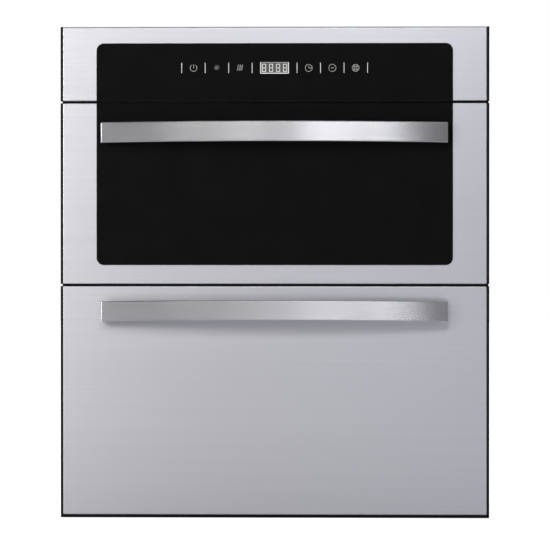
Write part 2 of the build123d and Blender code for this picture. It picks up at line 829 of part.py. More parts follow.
def drawer_frame(z):
    """Sheet arms on the inner slide members, with a ledge for the rack, and a rail across the back."""
    x1, x0 = arm_half, arm_half - arm_sheet
    z0, z1 = z - arm_half_height, z + arm_half_height
    arm = fused([
        block(x0, x1, y_pan, arm_y1, z0, z1),
        block(x0 - arm_ledge, x1, y_pan, arm_y1, z0, z0 + arm_sheet),
        block(x0 - arm_front_flange, x1, y_pan, y_pan + arm_sheet, z0, z1),
    ])
    rail = block(-x0 + arm_ledge, x0 - arm_ledge, arm_y1 - arm_sheet, arm_y1, z0, z0 + rear_rail_height)
    tab = block(x0 - arm_ledge, x0, arm_y1 - arm_sheet, arm_y1, z0 + arm_sheet, z0 + rear_rail_height)
    return Compound([*mirrored(arm + tab), rail])


def wire_panel(a0, a1, z0, z1, pitch, point):
    """A flat panel of a rack, of two rails and upright wires. point turns (along, z) into a place."""
    wires = [rod(point(a0, z), point(a1, z), rail_radius) for z in (z0, z1)]
    wires += [rod(point(a, z0), point(a, z1), wire_radius) for a in between(a0, a1, pitch)]
    return fused(wires)


def rack_walls(z0, z1):
    """Four wire panels that meet at the rack's corners."""
    butt = rail_radius
    across = (-rack_half - butt, rack_half + butt)
    along = (rack_y0 + butt, rack_y1 - butt)
    walls = []
    for y in (rack_y0, rack_y1):
        walls.append(wire_panel(*across, z0, z1, rack_wall_pitch, lambda a, h: (a, y, h)))
    for x in (-rack_half, rack_half):
        walls.append(wire_panel(*along, z0, z1, rack_wall_pitch, lambda a, h: (x, a, h)))
    return walls


def rack_floor(z):
    """Floor of a rack: wires from front to back, with cross wires welded onto them."""
    y0, y1 = rack_y0 + rail_radius, rack_y1 - rail_radius
    x1 = rack_half - 2 * rail_radius
    places = between(-rack_half, rack_half, rack_floor_pitch)
    wires = [rod((x, y0, z), (x, y1, z), wire_radius) for x in places]
    over = z + 2 * wire_radius - weld_lap
    wires += [rod((-x1, y, over), (x1, y, over), wire_radius) for y in between(y0, y1, rack_cross_pitch)]
    return fused(wires)


def rack_levels(slide_z, height):
    """Heights of a rack's bottom and top rails."""
    z0 = slide_z - arm_half_height + ledge_lift
    return z0, z0 + height


def upper_rack():
    """Open basket for bowls and cups."""
    z0, z1 = rack_levels(upper_slide_z, upper_rack_height)
    return Compound([rack_floor(z0), *rack_walls(z0, z1)])


def tine_row(x, z0):
    """A row of upright pins that hold plates on edge, on their own foot wire."""
    foot = z0 + 4 * wire_radius - weld_lap
    y0, y1 = rack_y0 + tine_pitch, rack_y1 - tine_pitch
    past = 3 * wire_radius
    pins = [rod((x, y, foot), (x, y, foot + tine_height), wire_radius) for y in evenly(y0, y1, tine_pitch)]
    return fused([rod((x, y0 - past, foot), (x, y1 + past, foot), wire_radius), *pins])


def tine_rows():
    """X of the two rows of plate tines, at the rack's right side."""
    first = rack_half - tine_wall_gap
    return first - tine_row_gap, first


def lower_rack():
    """Basket with plate tines on the right and an open space on the left."""
    z0, z1 = rack_levels(lower_slide_z, lower_rack_height)
    return Compound([rack_floor(z0), *rack_walls(z0, z1), *[tine_row(x, z0) for x in tine_rows()]])


# ---------------------------------------------------------------- heating, fan and lamp


def fan_grille():
    """Slotted plate over the hot-air opening."""
    half, y1 = grille_size / 2, y_liner_back
    plate = block(-half, half, y1 - liner_sheet, y1, fan_z - half, fan_z + half)
    reach, slot = half - grille_slot_margin, grille_slot_width / 2
    for z in evenly(fan_z - reach, fan_z + reach, grille_slot_pitch):
        plate -= block(-reach, reach, y1 - liner_sheet, y1, z - slot, z + slot)
    return plate


def ptc_heater():
    """Finned air heater behind the liner: a rim crossed by thin plates."""
    half, y0 = heater_size / 2, y_heater
    body = block(-half, half, y0, y_fan0, fan_z - half, fan_z + half)
    reach = half - heater_rim
    count = int(2 * reach / (heater_fin + heater_fin_gap))
    step = 2 * reach / count
    for i in range(count):
        x = -reach + step * i
        body -= block(x, x + step - heater_fin, y0, y_fan0, fan_z - reach, fan_z + reach)
    return body


def fan_housing():
    """Square fan frame, with a hub plate on four struts at the back and a bush for the shaft."""
    half = fan_size / 2
    body = block(-half, half, y_fan0, y_fan1, fan_z - half, fan_z + half)
    body -= rod((0, y_fan0, fan_z), (0, y_fan1, fan_z), fan_bore_radius)
    y_plate = y_fan1 - fan_plate_thickness
    body += rod((0, y_plate, fan_z), (0, y_fan1, fan_z), fan_hub_radius)
    reach, w = fan_bore_radius + 1, fan_strut_width / 2
    body += block(-reach, reach, y_plate, y_fan1, fan_z - w, fan_z + w)
    body += block(-w, w, y_plate, y_fan1, fan_z - reach, fan_z + reach)
    return body - rod((0, y_fan0, fan_z), (0, y_fan1, fan_z), fan_shaft_radius + fan_shaft_clearance)


def fan_impeller():
    """Hub with pitched blades, and its shaft in the housing's bush."""
    y0, y1 = y_fan0 + fan_wheel_gap, y_fan1 - fan_plate_thickness - fan_wheel_gap
    hub = rod((0, y0, fan_z), (0, y1, fan_z), fan_hub_radius)
    length = fan_blade_radius - fan_hub_radius + 2 * fan_blade_thickness
    blade = Rot(fan_blade_pitch, 0, 0) * Box(length, y1 - y0 - fan_blade_trim, fan_blade_thickness)
    blade = Pos(fan_blade_radius - length / 2, 0, 0) * blade
    spread = [Rot(0, 360 / fan_blade_count * i, 0) * blade for i in range(fan_blade_count)]
    wheel = fused([hub, *[Pos(0, (y0 + y1) / 2, fan_z) * b for b in spread]])
    return wheel + rod((0, y1, fan_z), (0, y_fan1, fan_z), fan_shaft_radius)


def lamp_axis():
    """Y and Z of the ultraviolet lamp."""
    ceiling = upper_open_z1 + frame_sheet + liner_fit
    return y_liner_back - lamp_from_back, ceiling - lamp_below_ceiling, ceiling


def uv_lamp():
    """Ultraviolet tube with rounded ends."""
    y, z, _ = lamp_axis()
    half = lamp_length / 2
    glass = rod((-half, y, z), (half, y, z), lamp_radius)
    return fillet(glass.edges(), lamp_end_round)


def uv_lamp_holders():
    """Two sockets under the chamber's ceiling, each bored for the tube's end."""
    y, z, ceiling = lamp_axis()
    half, wide = lamp_length / 2, lamp_radius + lamp_holder_wall
    x0, x1 = half - lamp_holder_width / 2, half + lamp_holder_width / 2
    holder = block(x0, x1, y - wide, y + wide, z - wide, ceiling)
    bore = rod((x0 - 1, y, z), (half, y, z), lamp_radius + lamp_fit)
    return Compound(mirrored(holder - bore))


def uv_lamp_guard():
    """Wire guard under the lamp: three long wires on two hoops that reach the ceiling."""
    y, z, ceiling = lamp_axis()
    r = wire_radius
    drop = lamp_radius + lamp_guard_gap + r
    half = lamp_length / 2 - lamp_holder_width
    low = z - drop
    wires = [rod((-half, y + dy, low), (half, y + dy, low), r) for dy in (-drop, 0, drop)]
    for x in evenly(-half + r, half - r, half):
        wires.append(rod((x, y - drop, low), (x, y + drop, low), r))
        wires += [rod((x, y + dy, low), (x, y + dy, ceiling), r) for dy in (-drop, drop)]
    return fused(wires)


def quartz_levels():
    """Heights of the two infrared tubes."""
    return lower_open_z0 + quartz_low, lower_open_z0 + quartz_high


def ir_tubes():
    """Two quartz infrared tubes across the back of the lower chamber."""
    y, half = y_liner_back - quartz_from_back, liner_half - quartz_side_gap
    return Compound([rod((-half, y, z), (half, y, z), quartz_radius) for z in quartz_levels()])


def ir_tube_holders():
    """Ceramic end blocks on the back wall, bored for the tubes."""
    half, w, s = liner_half - quartz_side_gap, quartz_holder_width / 2, quartz_holder_size / 2
    y = y_liner_back - quartz_from_back
    solids = []
    for z in quartz_levels():
        body = block(half - w, half + w, y - s, y_liner_back, z - s, z + s)
        body -= rod((half - 2 * w, y, z), (half, y, z), quartz_radius + lamp_fit)
        solids += mirrored(body)
    return Compound(solids)


def ir_guard():
    """Flat wire guard in front of the infrared tubes."""
    low, high = quartz_levels()
    y, half = y_liner_back - guard_from_back, liner_half - quartz_side_gap
    z0, z1 = low - guard_overhang, high + guard_overhang
    wires = [rod((-half, y, z), (half, y, z), rail_radius) for z in (z0, z1)]
    wires += [rod((x, y, z0), (x, y, z1), wire_radius) for x in between(-half, half, guard_pitch)]
    stands = [rod((x, y, z), (x, y_liner_back, z), rail_radius) for x in (-half, half) for z in (z0, z1)]
    return fused([*wires, *stands])


# ---------------------------------------------------------------- controls and electrics


def control_board():
    """Touch board behind the glass: board, display block and six key springs."""
    back = y_face + glass_thickness
    y0 = back + board_setback
    half, tall = key_window_half_width - board_edge_gap, key_window_half_height - board_edge_gap
    board = block(-half, half, y0, y0 + board_thickness, key_z - tall, key_z + tall)
    w, h = display_width / 2, display_height / 2
    solids = [board, block(-w, w, back, y0, key_z - h, key_z + h)]
    for i in range(3):
        x = key_first + key_pitch * i
        solids += mirrored(rod((x, back, key_z), (x, y0, key_z), key_spring_radius))
    return Compound(solids)


def control_housing():
    """Plastic tray that carries the touch board behind the fascia."""
    y0 = y_face + glass_thickness + front_sheet
    y1 = y0 + housing_depth
    half, tall = key_window_half_width + housing_wall, key_window_half_height + housing_wall
    tray = block(-half, half, y0, y1, key_z - tall, key_z + tall)
    return tray - block(
        -key_window_half_width, key_window_half_width, y0, y1 - housing_wall,
        key_z - key_window_half_height, key_z + key_window_half_height,
    )


def bay_floor():
    """Underside of the electrics' bay: the top of the upper liner."""
    return upper_open_z1 + frame_sheet + liner_fit + liner_sheet


def power_board():
    """Power board on four posts over the upper chamber, with its relays and transformer."""
    z, post = bay_floor() + power_board_lift, power_post_radius
    x0, y0 = -case_half + 2 * case_flange, y_case + bay_front_margin
    x1, y1 = x0 + power_board_width, y0 + power_board_depth
    top = z + board_thickness
    solids = [block(x0, x1, y0, y1, z, top)]
    for x in (x0 + 2 * post, x1 - 2 * post):
        solids += [rod((x, y, bay_floor()), (x, y, z), post) for y in (y0 + 2 * post, y1 - 2 * post)]
    relay_y = y1 - relay_size - 2 * post
    for x in evenly(x0 + relay_size, x1 - 2 * relay_size, 2 * relay_size):
        solids.append(block(x, x + relay_size, relay_y, relay_y + relay_size, top, top + relay_size))
    core_x, core_y = x0 + 4 * post, y0 + 2 * post
    core = transformer_size
    solids.append(block(core_x, core_x + core, core_y, core_y + core, top, top + transformer_height))
    return Compound(solids)


def lamp_ballast():
    """Ballast of the ultraviolet lamp, over the upper chamber on the right."""
    x1, y0 = case_half - 2 * case_flange, y_case + bay_front_margin
    box = block(x1 - ballast_width, x1, y0, y0 + ballast_depth, bay_floor(), bay_floor() + ballast_height)
    return fillet(box.edges().filter_by(Axis.Z), ballast_corner_radius)


def cable_grommet():
    """Rubber grommet of the cable inlet, flanged on both sides of the rear panel."""
    inside, outside = y_rear - case_sheet - grommet_flange, y_rear + screw_head_height
    x, z = grommet_x, grommet_z
    ring = rod((x, inside, z), (x, y_rear - case_sheet, z), grommet_flange_radius)
    ring += rod((x, y_rear - case_sheet, z), (x, y_rear, z), grommet_neck_radius)
    ring += rod((x, y_rear, z), (x, outside, z), grommet_flange_radius)
    return ring - rod((x, inside - 1, z), (x, outside + 1, z), grommet_cable_radius)


def switch_heights():
    """Heights of the lower and upper drawers' switches."""
    return (lower_open_z0 + lower_open_z1) / 2, (upper_open_z0 + upper_open_z1) / 2


def switch_housings():
    """Two switch bodies behind the frame, each bored for its plunger."""
    bodies = []
    for z in switch_heights():
        x, w, h = -switch_x, switch_width / 2, switch_height / 2
        body = block(x - w, x + w, y_case, y_case + switch_depth, z - h, z + h)
        bore = switch_plunger_radius + switch_bore_clearance
        body -= rod((x, y_case, z), (x, y_case + switch_depth - housing_wall, z), bore)
        bodies.append(body)
    return Compound(bodies)


def switch_plunger(z):
    """Plunger with a round head, standing out in front of the frame. It is pushed in by the drawer."""
    tip = y_pan + switch_plunger_gap
    inner = y_case + switch_depth - housing_wall - switch_plunger_travel - switch_spring_room
    stem = rod((-switch_x, tip, z), (-switch_x, inner, z), switch_plunger_radius)
    return fillet(stem.edges().group_by(Axis.Y)[0], switch_tip_round)


# ---------------------------------------------------------------- write every node

lower_switch_z, upper_switch_z = switch_heights()
upper_glass_round = upper_z0 + upper_glass_bottom_margin
control_glass_round = control_z1 - control_glass_top_margin

upper_skin = recessed_pan(upper_z0, upper_z1, upper_glass_round, upper_z1, y_pan)
lower_inside = pan_inside(lower_z0, lower_z1, y_face + front_sheet, y_pan)
lower_skin = steel_pan(lower_z0, lower_z1, y_pan) - lower_inside

nodes = {
    "side_panel_right": side_panel(),
    "side_panel_left": side_panel().mirror(Plane.YZ),
    "top_panel": top_panel(),
    "base_panel": base_panel(),
    "rear_panel": rear_panel(),
    "front_frame": front_frame(),
    "divider_shelf": divider_shelf(),
    "upper_liner": upper_liner(),
    "lower_liner": liner(lower_open_z0, lower_open_z1),
    "lower_insulation": lower_insulation(),
    "feet": feet(),
    "case_screws": case_screws(),
    "cable_grommet": cable_grommet(),
    "control_fascia": control_fascia(),
    "control_glass": glass_pane(control_glass_round, control_z0),
    "control_board": control_board(),
    "control_housing": control_housing(),
    "fixed_trims": fixed_trims(),
    "power_board": power_board(),
    "lamp_ballast": lamp_ballast(),
    "fan_grille": fan_grille(),
    "ptc_heater": ptc_heater(),
    "fan_housing": fan_housing(),
    "fan_impeller": fan_impeller(),
    "uv_lamp": uv_lamp(),
    "uv_lamp_holders": uv_lamp_holders(),
    "uv_lamp_guard": uv_lamp_guard(),
    "ir_tubes": ir_tubes(),
    "ir_tube_holders": ir_tube_holders(),
    "ir_guard": ir_guard(),
    "switch_housings": switch_housings(),
    "upper_switch_plunger": switch_plunger(upper_switch_z),
    "lower_switch_plunger": switch_plunger(lower_switch_z),
    "upper_front_skin": upper_skin - handle_holes(upper_handle_z),
    "upper_front_glass": glass_pane(upper_glass_round, upper_z1) - handle_holes(upper_handle_z),
    "upper_front_inner": inner_pan(upper_z0, upper_z1),
    "upper_front_gasket": gasket(upper_open_z0, upper_open_z1),
    "upper_front_trims": edge_trims(upper_z0, upper_z1, y_pan),
    "upper_handle": handle(upper_handle_z),
    "upper_handle_screws": handle_screws(upper_handle_z),
    "lower_front_skin": lower_skin - handle_holes(lower_handle_z),
    "lower_front_inner": inner_pan(lower_z0, lower_z1),
    "lower_front_gasket": gasket(lower_open_z0, lower_open_z1),
    "lower_front_trims": edge_trims(lower_z0, lower_z1, y_pan),
    "lower_handle": handle(lower_handle_z),
    "lower_handle_screws": handle_screws(lower_handle_z),
    "upper_rack": upper_rack(),
    "lower_rack": lower_rack(),
}

for drawer, z in (("upper", upper_slide_z), ("lower", lower_slide_z)):
    nodes[f"{drawer}_drawer_frame"] = drawer_frame(z)
    nodes[f"{drawer}_slide_outer"] = slide_outer(z)
    nodes[f"{drawer}_slide_middle"] = slide_middle(z)
    nodes[f"{drawer}_slide_inner"] = slide_inner(z)
    nodes[f"{drawer}_slide_outer_balls"] = outer_cages(z)
    nodes[f"{drawer}_slide_inner_balls"] = inner_cages(z)

os.makedirs("parts", exist_ok=True)
for name, shape in nodes.items():
    export_step(shape, f"parts/{name}.step")
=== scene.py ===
"""Looks of a built-in dish sterilizer cabinet: brushed steel, black glass and bowed handles.

The cabinet stands on the floor with its front towards -Y and the user's right at +X. Sizes are in metres,
apart from those of a finish's pattern and of a key's symbol, which are in millimetres.
"""

import logging
import math
from dataclasses import dataclass, field
from enum import Enum
from typing import Iterable

import bmesh
import bpy
from mathutils import Matrix, Vector


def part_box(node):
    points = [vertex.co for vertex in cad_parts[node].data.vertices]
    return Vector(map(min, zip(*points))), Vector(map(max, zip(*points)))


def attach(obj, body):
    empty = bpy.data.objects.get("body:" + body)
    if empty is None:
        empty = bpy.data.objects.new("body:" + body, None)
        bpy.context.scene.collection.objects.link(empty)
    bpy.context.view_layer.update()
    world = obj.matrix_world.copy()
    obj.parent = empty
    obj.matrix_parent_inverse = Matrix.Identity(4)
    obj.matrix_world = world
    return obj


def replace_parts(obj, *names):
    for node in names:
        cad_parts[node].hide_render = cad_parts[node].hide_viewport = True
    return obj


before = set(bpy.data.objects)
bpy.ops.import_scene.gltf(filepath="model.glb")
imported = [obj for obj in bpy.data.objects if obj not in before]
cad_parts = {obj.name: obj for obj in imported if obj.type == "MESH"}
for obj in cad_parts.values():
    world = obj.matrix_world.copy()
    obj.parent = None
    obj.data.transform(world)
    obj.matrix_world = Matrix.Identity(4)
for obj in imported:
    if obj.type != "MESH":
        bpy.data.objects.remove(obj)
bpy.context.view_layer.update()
LOG = logging.getLogger("cabinet")
MM = 1000  # millimetres in a metre

Colour = tuple[float, float, float, float]
Value = float | tuple[float, ...] | bpy.types.NodeSocket
Stops = tuple[tuple[float, float], ...]


# ---------------------------------------------------------------- nodes and colours

PATTERN_RANGE = (0.3, 0.7)  # where a noise pattern has nearly all its values
WHITE: Colour = (1.0, 1.0, 1.0, 1.0)


def linear(hex_colour: str) -> Colour:
    """Turn an sRGB colour into the linear one that the shaders use.

    Args:
        hex_colour: Six hex digits, such as "b4b5bc".

    Returns:
        Red, green, blue and an alpha of 1.
    """
    parts = [int(hex_colour[i:i + 2], 16) / 255 for i in (0, 2, 4)]
    red, green, blue = (p / 12.92 if p <= 0.04045 else ((p + 0.055) / 1.055) ** 2.4 for p in parts)
    return red, green, blue, 1.0


def add_node(
    tree: bpy.types.NodeTree, kind: str, settings: dict[str, object], inputs: dict[str | int, Value]
) -> bpy.types.Node:
    """Add a node to a tree, with its settings and links.

    Args:
        tree: The node tree of a material or of the world.
        kind: The node's type.
        settings: Values of the node's own properties.
        inputs: A number or colour, or the socket to link, by the input's name or number.

    Returns:
        The new node.
    """
    node = tree.nodes.new(kind)
    for name, value in settings.items():
        setattr(node, name, value)
    for name, value in inputs.items():
        if isinstance(value, bpy.types.NodeSocket):
            tree.links.new(value, node.inputs[name])
        else:
            node.inputs[name].default_value = value
    return node


def calculate(tree: bpy.types.NodeTree, operation: str, *values: Value) -> bpy.types.NodeSocket:
    """Work out a number from one to three others.

    Args:
        tree: The node tree.
        operation: The math node's operation.
        values: The numbers, or the sockets that give them.

    Returns:
        The result.
    """
    return add_node(tree, "ShaderNodeMath", {"operation": operation}, dict(enumerate(values))).outputs[0]


def rescale(
    tree: bpy.types.NodeTree, value: bpy.types.NodeSocket, ends: tuple[float, float],
    low: float = 0.0, high: float = 1.0,
) -> bpy.types.NodeSocket:
    """Turn a stretch of values into another one, and hold what lies outside at its ends.

    Args:
        tree: The node tree.
        value: The value to turn.
        ends: The stretch that it comes from.
        low: What the lower end becomes.
        high: What the upper end becomes.

    Returns:
        The new value.
    """
    inputs = {"Value": value, "From Min": ends[0], "From Max": ends[1], "To Min": low, "To Max": high}
    return add_node(tree, "ShaderNodeMapRange", {}, inputs).outputs["Result"]


def blend(
    tree: bpy.types.NodeTree, factor: bpy.types.NodeSocket, one: Value, other: Value
) -> bpy.types.NodeSocket:
    """Blend two numbers or two colours.

    Args:
        tree: The node tree.
        factor: 0 for the first alone, 1 for the second alone.
        one: The first number or colour.
        other: The second, of the same kind.

    Returns:
        The blend.
    """
    # The mix node tells its pairs of sockets apart by number only: numbers are 2 and 3, colours 6 and 7.
    kind, first, result = ("RGBA", 6, 2) if isinstance(other, tuple) else ("FLOAT", 2, 0)
    inputs = {0: factor, first: one, first + 1: other}
    return add_node(tree, "ShaderNodeMix", {"data_type": kind}, inputs).outputs[result]


def noise(tree: bpy.types.NodeTree, place: bpy.types.NodeSocket, detail: float) -> bpy.types.NodeSocket:
    """Draw a noise with cells of one unit.

    Args:
        tree: The node tree.
        place: The coordinates.
        detail: How many finer layers lie over the first.

    Returns:
        The noise, near 0.5.
    """
    inputs = {"Vector": place, "Scale": 1.0, "Detail": detail}
    return add_node(tree, "ShaderNodeTexNoise", {}, inputs).outputs["Fac"]


# ---------------------------------------------------------------- finishes


class Pattern(Enum):
    """What a finish's pattern looks like."""

    GRAIN = "soft noise"
    SPANGLE = "crystals, each with a grey of its own"
    TRACES = "lanes in offset rows"


@dataclass(frozen=True)
class Finish:
    """A real material, with the pattern that its making leaves on it.

    The two colours and the two roughnesses are those of the pattern's dark and light parts.
    """

    name: str
    colours: tuple[str, str]
    roughness: tuple[float, float]
    size_mm: tuple[float, float, float]  # of the pattern along X, Y and Z
    pattern: Pattern = Pattern.GRAIN
    detail: float = 3.0  # finer layers of a grain
    relief_mm: float = 0.0
    metallic: float = 0.0
    cloud_mm: float = 180.0  # size of the slow change over a large sheet
    cloud_detail: float = 2.0
    cloud: float = 0.03  # how much that changes the roughness
    shader: dict[str, Value] = field(default_factory=dict)  # further uniform values

    def material(self) -> bpy.types.Material:
        """Return the finish's material, made the first time that it is asked for."""
        found = bpy.data.materials.get(self.name)
        if found is None:
            found = bpy.data.materials.new(self.name)
            found.use_nodes = True
            self.draw(found.node_tree)
        return found

    def coordinates(self, tree: bpy.types.NodeTree, size_mm: Iterable[float]) -> bpy.types.NodeSocket:
        """Object coordinates in which one pattern cell is one unit.

        Args:
            tree: The material's node tree.
            size_mm: The cell's real size along X, Y and Z.

        Returns:
            The scaled coordinates.
        """
        place = add_node(tree, "ShaderNodeTexCoord", {}, {}).outputs["Object"]
        scale = tuple(MM / size for size in size_mm)
        return add_node(tree, "ShaderNodeMapping", {}, {"Vector": place, "Scale": scale}).outputs["Vector"]

    def cells(self, tree: bpy.types.NodeTree) -> bpy.types.NodeSocket:
        """The pattern as a value from 0 to 1, near 0.5 in the middle.

        Args:
            tree: The material's node tree.

        Returns:
            The pattern's value.
        """
        place = self.coordinates(tree, self.size_mm)
        if self.pattern is Pattern.GRAIN:
            return noise(tree, place, self.detail)
        inputs = {"Vector": place, "Scale": 1.0}
        if self.pattern is Pattern.TRACES:
            return add_node(tree, "ShaderNodeTexBrick", {}, inputs).outputs["Fac"]
        crystals = add_node(tree, "ShaderNodeTexVoronoi", {}, inputs).outputs["Color"]
        grey = add_node(tree, "ShaderNodeSeparateColor", {}, {"Color": crystals}).outputs["Red"]
        low, high = PATTERN_RANGE
        return calculate(tree, "MULTIPLY_ADD", grey, high - low, low)

    def draw(self, tree: bpy.types.NodeTree) -> None:
        """Link the pattern to the shader's colour, roughness and relief.

        Args:
            tree: The material's node tree.
        """
        tree.nodes.clear()
        cells = self.cells(tree)
        even = rescale(tree, cells, PATTERN_RANGE)
        colour = blend(tree, even, *(linear(c) for c in self.colours))
        place = self.coordinates(tree, (self.cloud_mm,) * 3)
        cloud = noise(tree, place, self.cloud_detail)
        rough = rescale(tree, cells, PATTERN_RANGE, *self.roughness)
        drift = rescale(tree, cloud, PATTERN_RANGE, -self.cloud, self.cloud)
        level = calculate(tree, "ADD", rough, drift)
        level.node.use_clamp = True
        inputs = {"Base Color": colour, "Roughness": level, "Metallic": self.metallic, **self.shader}
        if self.relief_mm:
            height = {"Height": cells, "Distance": self.relief_mm / MM, "Strength": 1.0}
            inputs["Normal"] = add_node(tree, "ShaderNodeBump", {}, height).outputs["Normal"]
        shader = add_node(tree, "ShaderNodeBsdfPrincipled", {}, inputs)
        add_node(tree, "ShaderNodeOutputMaterial", {}, {"Surface": shader.outputs["BSDF"]})

    def dress(self, *nodes: str) -> None:
        """Give CAD nodes this finish.

        Args:
            nodes: The nodes' names.
        """
        for node in nodes:
            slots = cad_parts[node].data.materials
            slots.clear()
            slots.append(self.material())
            LOG.info("%s: %s", node, self.name)


# Brushed stainless sheet: belt-ground lines from side to side. Real lines are 0.1 to 0.3 mm apart; they are
# drawn 1.6 mm apart so that they just show, and give the face its soft, slightly cool sheen.
BRUSHED_FRONT = Finish(
    "brushed_stainless_sheet", ("bebec9", "c2c2cd"), (0.42, 0.44), (320, 8, 1.6), metallic=1.0,
    cloud=0.005, shader={"Anisotropic": 0.4, "Anisotropic Rotation": 0.25},
)
# Brushed stainless strap: coarser lines along its length. They draw each light out up and down, so that the
# bow shows one broad bright band.
BRUSHED_HANDLE = Finish(
    "brushed_stainless_strap", ("c0c0c7", "cbcbd2"), (0.24, 0.27), (220, 6, 1.5), metallic=1.0,
    cloud=0.0, shader={"Anisotropic": 1.0, "Anisotropic Rotation": 0.25},
)
# Back-printed tempered glass: black ink seen through a polished, even surface.
BLACK_GLASS = Finish(
    "back_printed_glass", ("0f0f10", "121213"), (0.03, 0.05), (40, 40, 40), cloud=0.0,
    shader={"IOR": 1.5, "Specular IOR Level": 0.3},
)
# Moulded black ABS strip: fine spark-eroded grain, real size 0.2 mm, drawn at 0.8 mm.
BLACK_TRIM = Finish(
    "moulded_black_abs", ("060607", "09090a"), (0.5, 0.6), (0.8, 0.8, 0.8), relief_mm=0.02,
    shader={"IOR": 1.54, "Specular IOR Level": 0.1},
)
# Powder-coated steel frame: orange-peel bumps a millimetre across, half dull.
FRAME_PAINT = Finish(
    "black_powder_coat", ("0d0d0e", "151517"), (0.5, 0.65), (1.2, 1.2, 1.2), relief_mm=0.03,
    shader={"IOR": 1.5, "Specular IOR Level": 0.3},
)
# Hot-dip galvanised sheet: zinc crystals 9 mm across, each tilted and so of its own grey.
GALVANISED = Finish(
    "galvanised_sheet", ("a7aaad", "babdbf"), (0.36, 0.46), (9, 9, 9), pattern=Pattern.SPANGLE,
    metallic=0.9,
)
# Cold-rolled stainless liner, mill finish: faint rolling lines from front to back.
LINER_STEEL = Finish(
    "rolled_stainless_liner", ("b4b5b8", "c3c4c7"), (0.24, 0.32), (2.4, 160, 2.4), metallic=1.0,
)
# Zinc-plated slide steel: drawn lengthwise, with a bluish passivated bloom.
SLIDE_ZINC = Finish(
    "zinc_plated_slide", ("8e9299", "adb0b6"), (0.28, 0.42), (3, 60, 3), metallic=1.0,
)
# Electropolished stainless wire: bright, with small ripples of the drawn rod.
RACK_WIRE = Finish(
    "electropolished_wire", ("c4c5c9", "d6d7da"), (0.12, 0.2), (5, 5, 5), relief_mm=0.02, metallic=1.0,
)
# Zinc-plated screws: dull where the plating is thin in the recess and on the edges.
SCREW_ZINC = Finish(
    "zinc_plated_screw", ("83868b", "b2b5ba"), (0.25, 0.45), (1.6, 1.6, 1.6), metallic=1.0,
)
# Ground bearing balls: near mirror.
BALL_STEEL = Finish(
    "ground_ball_steel", ("b0b2b6", "c2c4c8"), (0.08, 0.14), (2, 2, 2), metallic=1.0, cloud=0.0,
)
# Moulded natural rubber feet and grommet: dusty black, pitted.
FOOT_RUBBER = Finish(
    "moulded_black_rubber", ("161616", "242424"), (0.7, 0.85), (1.5, 1.5, 1.5), relief_mm=0.05,
    shader={"IOR": 1.52},
)
# Extruded silicone seal: grey, waxy, with fine drag lines.
SEAL_SILICONE = Finish(
    "extruded_silicone_seal", ("6c6d70", "7b7c7f"), (0.5, 0.62), (3, 1, 3), relief_mm=0.02,
    shader={"IOR": 1.41, "Sheen Weight": 0.15},
)
# Needled mineral wool: straw-coloured fibres in matted tufts.
MINERAL_WOOL = Finish(
    "needled_mineral_wool", ("8a7d5a", "c2b58c"), (0.9, 1.0), (7, 7, 2.5), relief_mm=0.6,
    shader={"Sheen Weight": 0.3},
)
# Glass-fibre board under green solder mask: copper traces show as lighter lanes.
BOARD_GREEN = Finish(
    "solder_masked_board", ("0c3f24", "1d6a41"), (0.3, 0.42), (6, 6, 6), pattern=Pattern.TRACES,
    relief_mm=0.03, shader={"IOR": 1.5},
)
# Moulded white ABS: faintly mottled, satin.
WHITE_PLASTIC = Finish(
    "moulded_white_abs", ("d2d1cc", "dededa"), (0.4, 0.5), (1.0, 1.0, 1.0), relief_mm=0.01,
    shader={"IOR": 1.54},
)
# Glass-filled polyester fan: dull black with paler fibre swirls.
FAN_PLASTIC = Finish(
    "glass_filled_polyester", ("121213", "262628"), (0.5, 0.65), (4, 4, 1.2), relief_mm=0.02,
    shader={"IOR": 1.57},
)
# Mill-finish aluminium fins of the air heater: rolled along their length.
HEATER_FINS = Finish(
    "mill_aluminium_fin", ("a5a7aa", "bfc1c4"), (0.3, 0.4), (1, 3, 40), metallic=1.0,
)
# Enamelled steel box of the ballast: smooth grey with a slight peel.
BALLAST_ENAMEL = Finish(
    "grey_stoving_enamel", ("8b8d90", "999b9e"), (0.3, 0.4), (3, 3, 3), relief_mm=0.02,
    shader={"IOR": 1.5},
)
# Clear fused quartz of the ultraviolet lamp, with a faint blue of the mercury arc's glow.
LAMP_GLASS = Finish(
    "clear_fused_quartz", ("cfd8ee", "e2e8f6"), (0.04, 0.1), (12, 12, 12), cloud=0.0,
    shader={
        "IOR": 1.46, "Transmission Weight": 0.6, "Emission Color": linear("b9c8ff"),
        "Emission Strength": 0.12,
    },
)
# Milky fused quartz of the infrared tubes: tiny drawn bubbles scatter the light along the tube.
MILKY_QUARTZ = Finish(
    "milky_fused_quartz", ("cfc8bd", "efebe3"), (0.22, 0.34), (22, 1.6, 1.6), cloud=0.0,
    shader={"IOR": 1.46, "Transmission Weight": 0.35},
)
# Pressed steatite: dry, chalky and slightly speckled.
STEATITE = Finish(
    "pressed_steatite", ("c9c3b4", "ddd8cb"), (0.65, 0.8), (1.4, 1.4, 1.4), relief_mm=0.02,
    shader={"IOR": 1.6},
)
# Screen-printed white ink, lit from behind by the key's lamp: even, with a grainy film.
KEY_PRINT = Finish(
    "backlit_white_ink", ("c6c6c8", "dcdcde"), (0.5, 0.6), (0.6, 0.6, 0.6), cloud=0.0,
    shader={"Emission Color": linear("f4f4f6"), "Emission Strength": 0.2},
)
# Smoked window of the display: diffusing film behind it makes it a mid grey.
DISPLAY_FILM = Finish(
    "smoked_display_film", ("333235", "454447"), (0.3, 0.4), (1.5, 1.5, 1.5), cloud=0.0,
    shader={"Emission Color": linear("555457"), "Emission Strength": 0.2},
)
